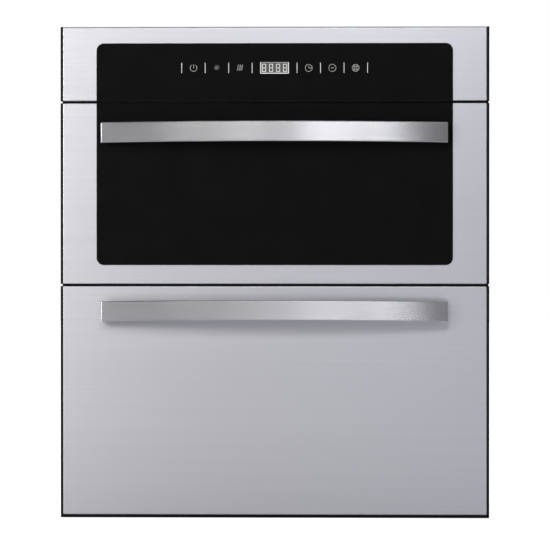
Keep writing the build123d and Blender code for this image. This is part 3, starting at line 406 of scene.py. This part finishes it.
# Lit segments of the display: soft white.
SEGMENT_GLOW = Finish(
    "lit_display_segment", ("b4b3b6", "c8c7ca"), (0.4, 0.5), (0.8, 0.8, 0.8), cloud=0.0,
    shader={"Emission Color": linear("e4e3e6"), "Emission Strength": 0.25},
)
# Matt floor paint: pale, rolled on, with a fine nap.
FLOOR_PAINT = Finish(
    "matt_floor_paint", ("dcdcde", "e2e2e4"), (0.8, 0.9), (4, 4, 4), relief_mm=0.05,
)


# ---------------------------------------------------------------- making pieces

TOUCHING = 1e-6  # points nearer to each other than this are one
ON_PLANE = 1e-7  # points nearer to a cut than this lie on it
ARC_STEP = 12  # degrees of a ring between two of its edges
ARC_STEPS_LEAST = 4


def make_piece(
    bm: bmesh.types.BMesh, name: str, body: str, finish: Finish, smooth_to: float = 28.0
) -> bpy.types.Object:
    """Turn a bmesh into a piece of the cabinet.

    Args:
        bm: The finished form, which is freed.
        name: The piece's name.
        body: The body that it rides on, or "" for a stage object.
        finish: Its finish.
        smooth_to: The largest angle between faces, in degrees, that is shaded as a curve.

    Returns:
        The piece's object.
    """
    bmesh.ops.remove_doubles(bm, verts=bm.verts, dist=TOUCHING)
    bmesh.ops.recalc_face_normals(bm, faces=bm.faces)
    for face in bm.faces:
        face.smooth = True
    for edge in bm.edges:
        edge.smooth = edge.calc_face_angle(math.pi) < math.radians(smooth_to)
    mesh = bpy.data.meshes.new(name)
    bm.to_mesh(mesh)
    bm.free()
    mesh.materials.append(finish.material())
    piece = bpy.data.objects.new(name, mesh)
    bpy.context.scene.collection.objects.link(piece)
    if body:
        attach(piece, body)
    LOG.info("%s: %d faces in %s", name, len(mesh.polygons), finish.name)
    return piece


def add_bar(bm: bmesh.types.BMesh, start: Vector, end: Vector, width: float, depth: float) -> None:
    """Add a flat printed stroke between two points of a plane that faces -Y.

    Args:
        bm: The form to add to.
        start: One end of its middle line.
        end: The other end.
        width: Its width in the plane.
        depth: Its thickness along Y.
    """
    along = end - start
    turn = Matrix.Rotation(-math.atan2(along.z, along.x), 4, "Y")
    size = Matrix.Diagonal((along.length, depth, width, 1))
    bmesh.ops.create_cube(bm, size=1.0, matrix=Matrix.Translation((start + end) / 2) @ turn @ size)


def add_arc(
    bm: bmesh.types.BMesh, centre: Vector, radius: float, start: float, sweep: float, width: float,
    depth: float,
) -> None:
    """Add a printed ring or a part of one, in a plane that faces -Y.

    Args:
        bm: The form to add to.
        centre: The ring's centre.
        radius: Radius of its middle line.
        start: Where it starts, in degrees from +X towards +Z.
        sweep: How far it goes, in degrees. 360 makes it whole.
        width: Its width.
        depth: Its thickness along Y.
    """
    whole = sweep >= 360
    angle = math.radians(start)
    middle = centre + Vector((math.cos(angle), 0, math.sin(angle))) * radius
    turn = Matrix.Rotation(-angle, 4, "Y") @ Matrix.Diagonal((width, depth, 1, 1))
    square = Matrix.Rotation(math.radians(45), 4, "Z")  # a circle of four corners, with its sides upright
    made = bmesh.ops.create_circle(
        bm, cap_ends=not whole, segments=4, radius=math.sqrt(0.5),
        matrix=Matrix.Translation(middle) @ turn @ square,
    )
    section = set(made["verts"])
    edges = [e for e in bm.edges if section.issuperset(e.verts)]
    faces = [f for f in bm.faces if section.issuperset(f.verts)]
    steps = max(ARC_STEPS_LEAST, round(sweep / ARC_STEP))
    bmesh.ops.spin(
        bm, geom=[*section, *edges, *faces], cent=centre, axis=(0, -1, 0), dvec=(0, 0, 0),
        angle=math.radians(sweep), steps=steps, use_merge=whole, use_duplicate=False,
    )


# ---------------------------------------------------------------- sub-assemblies


@dataclass
class BowedHandle:
    """Flat steel strap, bowed out from the front and a little upwards, with a leg at each end."""

    drawer: str
    height: float = 0.028
    strap: float = 0.005
    leg: float = 0.010
    end_reach: float = 0.022  # of the strap's ends from the drawer's front
    rise: float = 0.002  # of its middle above its ends
    corner: float = 0.0012
    corner_segments: int = 6
    chamfer: float = 0.0009
    support: float = 0.0004  # from the corner's round to the loop that keeps the front flat up to it
    spans: int = 96
    smooth_to: float = 20.0
    along: float = 0.9  # least part of a unit normal on the axis that its face looks along
    off: float = 0.1  # largest part on an axis that it doesn't
    ahead: float = 0.2  # least part forwards on the strap's front, also where that rounds a corner

    def blank(self, half: float, back: float, top: float) -> bmesh.types.BMesh:
        """Make the strap while it is still straight, with its two legs.

        Args:
            half: Half its length.
            back: Y of the face that the legs stand on.
            top: Z of its top edge.

        Returns:
            The straight form, with its corners rounded and its front edges chamfered.
        """
        bm = bmesh.new()
        y0 = back - self.end_reach
        middle = Vector((0, y0 + self.strap / 2, top - self.height / 2))
        size = Matrix.Diagonal((2 * half, self.strap, self.height, 1))
        bmesh.ops.create_cube(bm, size=1.0, matrix=Matrix.Translation(middle) @ size)
        inner = half - self.leg
        self.cut(bm, inner)
        feet = [f for f in bm.faces if f.normal.y > self.along and abs(f.calc_center_median().x) > inner]
        grown = bmesh.ops.extrude_face_region(bm, geom=feet)["geom"]
        tips = [v for v in grown if isinstance(v, bmesh.types.BMVert)]
        bmesh.ops.translate(bm, verts=tips, vec=(0, self.end_reach - self.strap, 0))
        lengthwise = [e for e in bm.edges if e.calc_length() > half]
        bmesh.ops.subdivide_edges(bm, edges=lengthwise, cuts=self.spans - 1, use_grid_fill=True)
        end, front = half - TOUCHING, y0 + TOUCHING
        upright = [e for e in bm.edges if all(abs(v.co.x) > end and v.co.y < front for v in e.verts)]
        self.bevel(bm, upright, self.corner, self.corner_segments)
        self.cut(bm, half - self.corner - self.support)
        rims = [e for e in bm.edges if self.is_rim(e)]
        self.bevel(bm, rims, self.chamfer, 1)
        return bm

    @staticmethod
    def cut(bm: bmesh.types.BMesh, x: float) -> None:
        """Cut a loop of edges across the strap, this far to each side of its middle."""
        for place in (-x, x):
            geometry = [*bm.verts, *bm.edges, *bm.faces]
            bmesh.ops.bisect_plane(
                bm, geom=geometry, dist=ON_PLANE, plane_co=(place, 0, 0), plane_no=(1, 0, 0)
            )

    @staticmethod
    def bevel(bm: bmesh.types.BMesh, edges: list[bmesh.types.BMEdge], offset: float, segments: int) -> None:
        """Bevel edges to a round of some segments."""
        bmesh.ops.bevel(
            bm, geom=edges, offset=offset, offset_type="OFFSET", affect="EDGES", segments=segments,
            profile=0.5, material=-1,
        )

    def is_rim(self, edge: bmesh.types.BMEdge) -> bool:
        """Whether an edge lies between the strap's front and its top or bottom."""
        if len(edge.link_faces) != 2:
            return False
        front, level = sorted((f.normal for f in edge.link_faces), key=lambda n: abs(n.z))
        return abs(level.z) > self.along and abs(front.z) < self.off and front.y < -self.ahead

    def build(self) -> bpy.types.Object:
        """Bow the blank into the handle's shape.

        Returns:
            The handle, which stands for the CAD one.
        """
        node = f"{self.drawer}_handle"
        low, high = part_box(node)
        half, back = high.x, high.y
        sag = back - self.end_reach - low.y
        radius = (half**2 + sag**2) / (2 * sag)
        bm = self.blank(half, back, high.z)
        for vert in bm.verts:
            x = vert.co.x
            if vert.co.y < back - TOUCHING:
                vert.co.y -= sag - radius + math.sqrt(radius**2 - x**2)
            vert.co.z -= self.rise * (x / half) ** 2
        name, body = f"{self.drawer}_handle_strap", f"{self.drawer}_drawer"
        piece = make_piece(bm, name, body, BRUSHED_HANDLE, smooth_to=self.smooth_to)
        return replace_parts(piece, node)


@dataclass
class TouchPanel:
    """Fixed panel over the drawers: steel fascia, black glass, and what is printed on the glass."""

    key_height: float = 0.6301  # Z of the line that the keys stand on
    print_depth: float = 0.00012
    stroke: float = 0.0003  # width of a symbol's lines
    key_places: tuple[float, ...] = (0.0478, 0.0808, 0.1134)  # on each side of the panel's middle
    small_lift: float = 0.0004  # of the lamp's and the heat's symbol, which stand a little higher
    heat_shift: float = 0.0006  # of the heat's symbol, to the left
    line_width: float = 0.00072
    line_height: float = 0.0142
    line_places: tuple[float, ...] = (0.0314, 0.0642, 0.0971, 0.1300)  # on each side of the middle
    display_width: float = 0.0400
    display_height: float = 0.0158
    display_border: float = 0.0011
    display_top: float = 0.35  # the border's width along its top, as a share of the rest
    digits: int = 4
    digit_width: float = 0.0056
    digit_height: float = 0.0112
    digit_stroke: float = 0.0010
    digit_pitch: float = 0.0098

    def at(self, x: float, z: float = 0.0) -> Vector:
        """A point on the glass, from the middle of the key line."""
        return Vector((x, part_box("control_glass")[0].y - self.print_depth / 2, self.key_height + z))

    def line(
        self, bm: bmesh.types.BMesh, place: Vector, *points: tuple[float, float], heavy: float = 1.0
    ) -> None:
        """Add a printed line of strokes round a place.

        Args:
            bm: The form to add to.
            place: The symbol's middle.
            points: X and Z of the line's points from there, in millimetres.
            heavy: The line's width in strokes.
        """
        spots = [place + Vector((x, 0, z)) / MM for x, z in points]
        for start, end in zip(spots, spots[1:]):
            add_bar(bm, start, end, self.stroke * heavy, self.print_depth)

    def ring(
        self, bm: bmesh.types.BMesh, place: Vector, radius_mm: float, start: float = 0, sweep: float = 360
    ) -> None:
        """Add a printed ring or arc round a place, with its radius in millimetres."""
        add_arc(bm, place, radius_mm / MM, start, sweep, self.stroke, self.print_depth)

    def power_key(self, bm: bmesh.types.BMesh, place: Vector) -> None:
        """Add the power key's symbol: a ring that is open at its top, with a stroke in the opening.

        Args:
            bm: The form to add to.
            place: The symbol's middle.
        """
        radius, opening = 4.7, 64
        self.ring(bm, place, radius, 90 + opening / 2, 360 - opening)
        self.line(bm, place, (0, radius + 0.4), (0, -0.6))

    def lamp_key(self, bm: bmesh.types.BMesh, place: Vector) -> None:
        """Add the ultraviolet lamp's symbol: a small ring with rays round it.

        Args:
            bm: The form to add to.
            place: The symbol's middle.
        """
        lamp, ray_start, ray_end, rays = 0.9, 2.1, 3.7, 8
        self.ring(bm, place, lamp)
        for step in range(rays):
            angle = math.radians(360) * step / rays
            way = Vector((math.cos(angle), math.sin(angle)))
            self.line(bm, place, tuple(ray_start * way), tuple(ray_end * way), heavy=0.7)

    def heat_key(self, bm: bmesh.types.BMesh, place: Vector) -> None:
        """Add the heat's symbol: three leaning waves.

        Args:
            bm: The form to add to.
            place: The symbol's middle.
        """
        pitch = 2.85
        for x in (-pitch, 0.0, pitch):
            wave = ((x - 0.9, -4.0), (x - 0.1, -1.4), (x + 0.1, 1.4), (x + 0.9, 4.0))
            self.line(bm, place, *wave, heavy=1.5)

    def clock_key(self, bm: bmesh.types.BMesh, place: Vector) -> None:
        """Add the clock's symbol: a ring with two hands."""
        self.ring(bm, place, 4.9)
        self.line(bm, place, (0, 2.8), (0, -0.2), (4.5, -0.2))

    def timer_key(self, bm: bmesh.types.BMesh, place: Vector) -> None:
        """Add the timer's symbol: a ring with a tick."""
        self.ring(bm, place, 5.0)
        self.line(bm, place, (-1.9, 0.7), (-0.4, -0.9), (2.0, 0.9), heavy=1.3)

    def airing_key(self, bm: bmesh.types.BMesh, place: Vector) -> None:
        """Add the airing's symbol: a ring with a grid in it.

        Args:
            bm: The form to add to.
            place: The symbol's middle.
        """
        radius, half_pitch = 4.8, 1.8
        self.ring(bm, place, radius)
        reach = math.sqrt(radius**2 - half_pitch**2)
        for offset in (-half_pitch, half_pitch):
            self.line(bm, place, (offset, -reach), (offset, reach))
            self.line(bm, place, (-reach, offset), (reach, offset))

    def symbols(self) -> None:
        """Print the symbols of the six keys."""
        bm = bmesh.new()
        near, middle, far = self.key_places
        self.power_key(bm, self.at(-far))
        self.lamp_key(bm, self.at(-middle, self.small_lift))
        self.heat_key(bm, self.at(-near - self.heat_shift, self.small_lift))
        self.clock_key(bm, self.at(near))
        self.timer_key(bm, self.at(middle))
        self.airing_key(bm, self.at(far))
        make_piece(bm, "key_symbols", "cabinet", KEY_PRINT)

    def dividers(self) -> None:
        """Print the upright lines between the keys."""
        bm = bmesh.new()
        tall = self.line_height / 2
        for x in self.line_places:
            for place in (-x, x):
                add_bar(bm, self.at(place, -tall), self.at(place, tall), self.line_width, self.print_depth)
        make_piece(bm, "key_dividers", "cabinet", KEY_PRINT)

    def display(self) -> None:
        """Print the display's border and film, and its four lit digits."""
        half, tall = self.display_width / 2, self.display_height / 2
        border, thin, depth = self.display_border, self.display_border * self.display_top, self.print_depth
        film = bmesh.new()
        add_bar(film, self.at(-half + border), self.at(half - border), 2 * (tall - border), depth)
        make_piece(film, "display_film", "cabinet", DISPLAY_FILM)
        edge = bmesh.new()
        side, bottom, top = half - border / 2, -tall + border / 2, tall - thin / 2
        for x in (-side, side):
            add_bar(edge, self.at(x, -tall), self.at(x, tall), border, depth)
        add_bar(edge, self.at(-side, bottom), self.at(side, bottom), border, depth)
        add_bar(edge, self.at(-side, top), self.at(side, top), thin, depth)
        make_piece(edge, "display_border", "cabinet", KEY_PRINT)
        digits = bmesh.new()
        for place in range(self.digits):
            self.digit(digits, self.digit_pitch * (place - (self.digits - 1) / 2))
        make_piece(digits, "display_digits", "cabinet", SEGMENT_GLOW)

    def digit(self, bm: bmesh.types.BMesh, x: float) -> None:
        """Add one digit with all seven segments lit.

        Args:
            bm: The form to add to.
            x: The digit's middle.
        """
        wide, tall, stroke = self.digit_width / 2, self.digit_height / 2, self.digit_stroke
        middle = self.at(x, self.print_depth) - Vector((0, self.print_depth, 0))  # ahead of the film
        reach, outer, gap = wide - stroke, tall - stroke / 2, stroke / 4
        for z in (-outer, 0, outer):
            ends = [middle + Vector((side, 0, z)) for side in (-reach, reach)]
            add_bar(bm, *ends, stroke, self.print_depth)
        for side in (stroke / 2 - wide, wide - stroke / 2):
            for span in ((-tall, -gap), (gap, tall)):
                ends = [middle + Vector((side, 0, z)) for z in span]
                add_bar(bm, *ends, stroke, self.print_depth)

    def build(self) -> None:
        """Dress the panel's solids and print its glass."""
        BRUSHED_FRONT.dress("control_fascia")
        BLACK_GLASS.dress("control_glass")
        BLACK_TRIM.dress("fixed_trims")
        BOARD_GREEN.dress("control_board")
        WHITE_PLASTIC.dress("control_housing")
        self.symbols()
        self.dividers()
        self.display()


@dataclass
class Drawer:
    """One drawer: its front and handle, its slides and its wire rack."""

    name: str
    has_glass: bool

    def build(self) -> None:
        """Dress the drawer's solids and make its handle."""
        BRUSHED_FRONT.dress(f"{self.name}_front_skin")
        if self.has_glass:
            BLACK_GLASS.dress(f"{self.name}_front_glass")
        LINER_STEEL.dress(f"{self.name}_front_inner")
        SEAL_SILICONE.dress(f"{self.name}_front_gasket")
        BLACK_TRIM.dress(f"{self.name}_front_trims")
        SCREW_ZINC.dress(f"{self.name}_handle_screws")
        BowedHandle(self.name).build()
        RACK_WIRE.dress(f"{self.name}_rack")
        GALVANISED.dress(f"{self.name}_drawer_frame")
        SLIDE_ZINC.dress(*[f"{self.name}_slide_{part}" for part in ("outer", "middle", "inner")])
        BALL_STEEL.dress(*[f"{self.name}_slide_{part}_balls" for part in ("outer", "inner")])


@dataclass
class Case:
    """The fixed case: panels, front frame, feet, screws and the parts of the electrics' bay."""

    panels: tuple[str, ...] = (
        "side_panel_right", "side_panel_left", "top_panel", "base_panel", "rear_panel", "divider_shelf",
    )

    def build(self) -> None:
        """Dress the case's solids."""
        GALVANISED.dress(*self.panels)
        FRAME_PAINT.dress("front_frame")
        FOOT_RUBBER.dress("feet", "cable_grommet")
        SCREW_ZINC.dress("case_screws")
        BOARD_GREEN.dress("power_board")
        BALLAST_ENAMEL.dress("lamp_ballast")
        WHITE_PLASTIC.dress("switch_housings", "upper_switch_plunger", "lower_switch_plunger")


class Chambers:
    """The two heated chambers: liners, fan, heater, lamp, infrared tubes and their guards."""

    def build(self) -> None:
        """Dress the chambers' solids."""
        LINER_STEEL.dress("upper_liner", "lower_liner", "fan_grille")
        MINERAL_WOOL.dress("lower_insulation")
        HEATER_FINS.dress("ptc_heater")
        FAN_PLASTIC.dress("fan_housing", "fan_impeller")
        LAMP_GLASS.dress("uv_lamp")
        WHITE_PLASTIC.dress("uv_lamp_holders")
        RACK_WIRE.dress("uv_lamp_guard", "ir_guard")
        MILKY_QUARTZ.dress("ir_tubes")
        STEATITE.dress("ir_tube_holders")


# ---------------------------------------------------------------- studio


@dataclass(frozen=True)
class SoftBox:
    """A square lamp with an even glow."""

    name: str
    place: tuple[float, float, float]
    aim: tuple[float, float, float]
    size: float
    power: float  # in watts
    warmth: float = 0.0  # the share of its blue that is left out

    def build(self) -> None:
        """Hang the lamp at its place and turn it to the point that it faces."""
        lamp = bpy.data.lights.new(self.name, "AREA")
        lamp.shape, lamp.size, lamp.energy = "SQUARE", self.size, self.power
        lamp.color = (1.0, 1.0, 1.0 - self.warmth)
        holder = bpy.data.objects.new(self.name, lamp)
        holder.visible_camera = False
        bpy.context.scene.collection.objects.link(holder)
        holder.location = Vector(self.place)
        holder.rotation_euler = (Vector(self.aim) - Vector(self.place)).to_track_quat("-Z", "Y").to_euler()


@dataclass
class Studio:
    """Pale floor, soft lights and the camera at the photograph's angle."""

    aim: tuple[float, float, float] = (0.0006, -0.204, 0.3406)
    distance: float = 6.0
    azimuth: float = 2.0  # degrees to the right of straight ahead
    elevation: float = 0.5  # degrees above level
    width_seen: float = 0.7692  # at the fronts, over the whole picture
    film_mm: float = 36.0  # width of the camera's film
    nearest: float = 0.1  # what the camera sees
    farthest: float = 60.0
    floor_reach: float = 14.0
    floor_back: tuple[float, float] = (-0.2, 0.4)  # Y over which the floor passes into the background
    floor_lift: float = 0.8  # the glow of the floor where it is background
    # Level of the dome in front of the cabinet: by degrees to the right, times by degrees above level.
    across: Stops = (
        (-90, 0.3), (-50, 0.3), (-30, 0.0), (-20, 0.0), (-15, 0.67), (-11, 0.06), (-7.5, 0.0),
        (-4.5, 0.07), (-2, 0.41), (0.5, 0.16), (3, 0.0), (22, 0.0), (40, 0.1), (90, 0.1),
    )
    upward: Stops = (
        (-90, 0.3), (-8, 0.3), (-5, 0.0), (5, 0.0), (9, 1.0), (35, 1.0), (55, 0.0), (90, 0.0),
    )
    # Level of the ceiling, by the sideways part of the direction in hundredths, from left to right.
    ceiling: Stops = ((-90, 0.0), (-4, 0.0), (4, 0.1), (12, 0.3), (30, 0.6), (90, 0.8))
    ceiling_start: tuple[float, float] = (40, 60)  # degrees above the horizon over which it comes in
    slot: float = 0.04  # the level opposite the glass, and the least level anywhere in front
    dome_back: tuple[float, float] = (-0.1, 0.3)  # part of a direction along Y over which the front ends
    backdrop: float = 0.8  # the level behind the cabinet
    boxes: tuple[SoftBox, ...] = (
        SoftBox("soft_box_middle", (0.0, -1.8, 1.3), (0.0, -0.2, 0.6), 0.5, 1.7, 0.05),
        SoftBox("soft_box_right", (0.24, -1.8, 1.3), (0.1, -0.2, 0.6), 0.4, 5.1, 0.04),
        SoftBox("soft_box_left", (-0.3, -1.8, 1.35), (-0.1, -0.2, 0.6), 0.4, 2.84, 0.08),
        SoftBox("soft_box_far_left", (-1.1, -1.8, 0.9), (-0.2, -0.2, 0.6), 0.25, 17.0, 0.12),
        SoftBox("soft_box_mid_left", (-0.95, -1.6, 0.6), (-0.2, -0.2, 0.5), 0.22, 3.5, 0.12),
        SoftBox("soft_box_low_middle", (0.1, -1.8, 0.02), (0.1, -0.2, 0.1), 0.4, 0.6),
        SoftBox("soft_box_low_right", (0.42, -1.8, 0.05), (0.25, -0.2, 0.2), 0.2, 0.59),
    )

    def floor(self) -> None:
        """Lay the floor: a plane that the camera sees as white, with the object's shadow on it."""
        bm = bmesh.new()
        bmesh.ops.create_grid(bm, x_segments=1, y_segments=1, size=self.floor_reach)
        plane = make_piece(bm, "studio_floor", "", FLOOR_PAINT)
        tree = FLOOR_PAINT.material().node_tree
        output = next(n for n in tree.nodes if n.type == "OUTPUT_MATERIAL")
        paint = output.inputs["Surface"].links[0].from_socket
        place = add_node(tree, "ShaderNodeTexCoord", {}, {}).outputs["Object"]
        depth = add_node(tree, "ShaderNodeSeparateXYZ", {}, {"Vector": place}).outputs["Y"]
        behind = rescale(tree, depth, self.floor_back)
        lift = calculate(tree, "MULTIPLY", self.watched(tree, behind), self.floor_lift)
        glow = add_node(tree, "ShaderNodeEmission", {}, {"Strength": lift})
        both = add_node(tree, "ShaderNodeAddShader", {}, {0: paint, 1: glow.outputs[0]})
        tree.links.new(both.outputs[0], output.inputs["Surface"])

    @staticmethod
    def ramp(tree: bpy.types.NodeTree, angle: bpy.types.NodeSocket, stops: Stops) -> bpy.types.NodeSocket:
        """Turn an angle into a level of light.

        Args:
            tree: The world's node tree.
            angle: The angle in radians, from a quarter turn down to a quarter turn up.
            stops: Degrees and levels, in order.

        Returns:
            The level.
        """
        quarter = math.pi / 2
        place = rescale(tree, angle, (-quarter, quarter))
        node = add_node(tree, "ShaderNodeValToRGB", {}, {"Fac": place})
        elements = node.color_ramp.elements
        for _ in stops[len(elements):]:
            elements.new(0.5)
        for element, (degrees, level) in zip(elements, stops):
            element.position = (degrees + 90) / 180
            element.color = (level, level, level, 1)
        return node.outputs["Color"]

    @staticmethod
    def watched(tree: bpy.types.NodeTree, behind: bpy.types.NodeSocket) -> bpy.types.NodeSocket:
        """Tell where the white background shows: to the camera, and behind the cabinet to metal and glass.

        Args:
            tree: The node tree of the floor or of the world.
            behind: 0 in front of the cabinet, 1 behind it.

        Returns:
            1 where the background shows, 0 elsewhere.
        """
        path = add_node(tree, "ShaderNodeLightPath", {}, {}).outputs
        bounced = calculate(tree, "MAXIMUM", path["Is Glossy Ray"], path["Is Transmission Ray"])
        bounced = calculate(tree, "MULTIPLY", bounced, behind)
        return calculate(tree, "MAXIMUM", bounced, path["Is Camera Ray"])

    def front_level(self, tree: bpy.types.NodeTree, way: bpy.types.NodeOutputs) -> bpy.types.NodeSocket:
        """Work out the dome's level in front of the cabinet, with the ceiling over it.

        Args:
            tree: The world's node tree.
            way: X, Y and Z of the direction.

        Returns:
            The level.
        """
        ahead = calculate(tree, "MULTIPLY", way["Y"], -1.0)
        side = calculate(tree, "ARCTAN2", way["X"], ahead)
        up = calculate(tree, "ARCSINE", way["Z"])
        by_side, by_height = self.ramp(tree, side, self.across), self.ramp(tree, up, self.upward)
        card = calculate(tree, "MULTIPLY_ADD", by_side, by_height, self.slot)
        hundredths = calculate(tree, "MULTIPLY", way["X"], math.radians(100))
        roof = self.ramp(tree, hundredths, self.ceiling)
        low, high = (math.radians(degrees) for degrees in self.ceiling_start)
        return calculate(tree, "MULTIPLY_ADD", roof, rescale(tree, up, (low, high)), card)

    def lights(self) -> None:
        """Light the scene: a soft dome with a dark slot opposite the glass, and the near soft boxes."""
        world = bpy.data.worlds.new("studio_dome")
        bpy.context.scene.world = world
        world.use_nodes = True
        tree = world.node_tree
        tree.nodes.clear()
        direction = add_node(tree, "ShaderNodeTexCoord", {}, {}).outputs["Generated"]
        way = add_node(tree, "ShaderNodeSeparateXYZ", {}, {"Vector": direction}).outputs
        front = self.front_level(tree, way)
        behind = rescale(tree, way["Y"], self.dome_back)
        level = blend(tree, behind, front, self.backdrop)
        strength = blend(tree, self.watched(tree, behind), level, 1.0)
        sky = add_node(tree, "ShaderNodeBackground", {}, {"Color": WHITE, "Strength": strength})
        add_node(tree, "ShaderNodeOutputWorld", {}, {"Surface": sky.outputs[0]})
        for box in self.boxes:
            box.build()

    def camera(self) -> None:
        """Place the camera with a long lens, nearly square to the fronts."""
        data = bpy.data.cameras.new("camera")
        data.sensor_width = self.film_mm
        data.lens = self.film_mm * self.distance / self.width_seen
        data.clip_start, data.clip_end = self.nearest, self.farthest
        holder = bpy.data.objects.new("camera", data)
        bpy.context.scene.collection.objects.link(holder)
        side, up = math.radians(self.azimuth), math.radians(self.elevation)
        back = Vector((math.sin(side) * math.cos(up), -math.cos(side) * math.cos(up), math.sin(up)))
        holder.location = Vector(self.aim) + back * self.distance
        holder.rotation_euler = (-back).to_track_quat("-Z", "Y").to_euler()
        bpy.context.scene.camera = holder

    def build(self) -> None:
        """Set up the floor, the lights and the camera."""
        bpy.context.scene.view_settings.view_transform = "Standard"
        self.camera()
        self.floor()
        self.lights()


def main() -> None:
    """Build the studio and the cabinet."""
    logging.basicConfig(level=logging.INFO, format="%(name)s: %(message)s")
    Studio().build()
    Case().build()
    Chambers().build()
    TouchPanel().build()
    Drawer("upper", has_glass=True).build()
    Drawer("lower", has_glass=False).build()


if __name__ == "__main__":
    main()
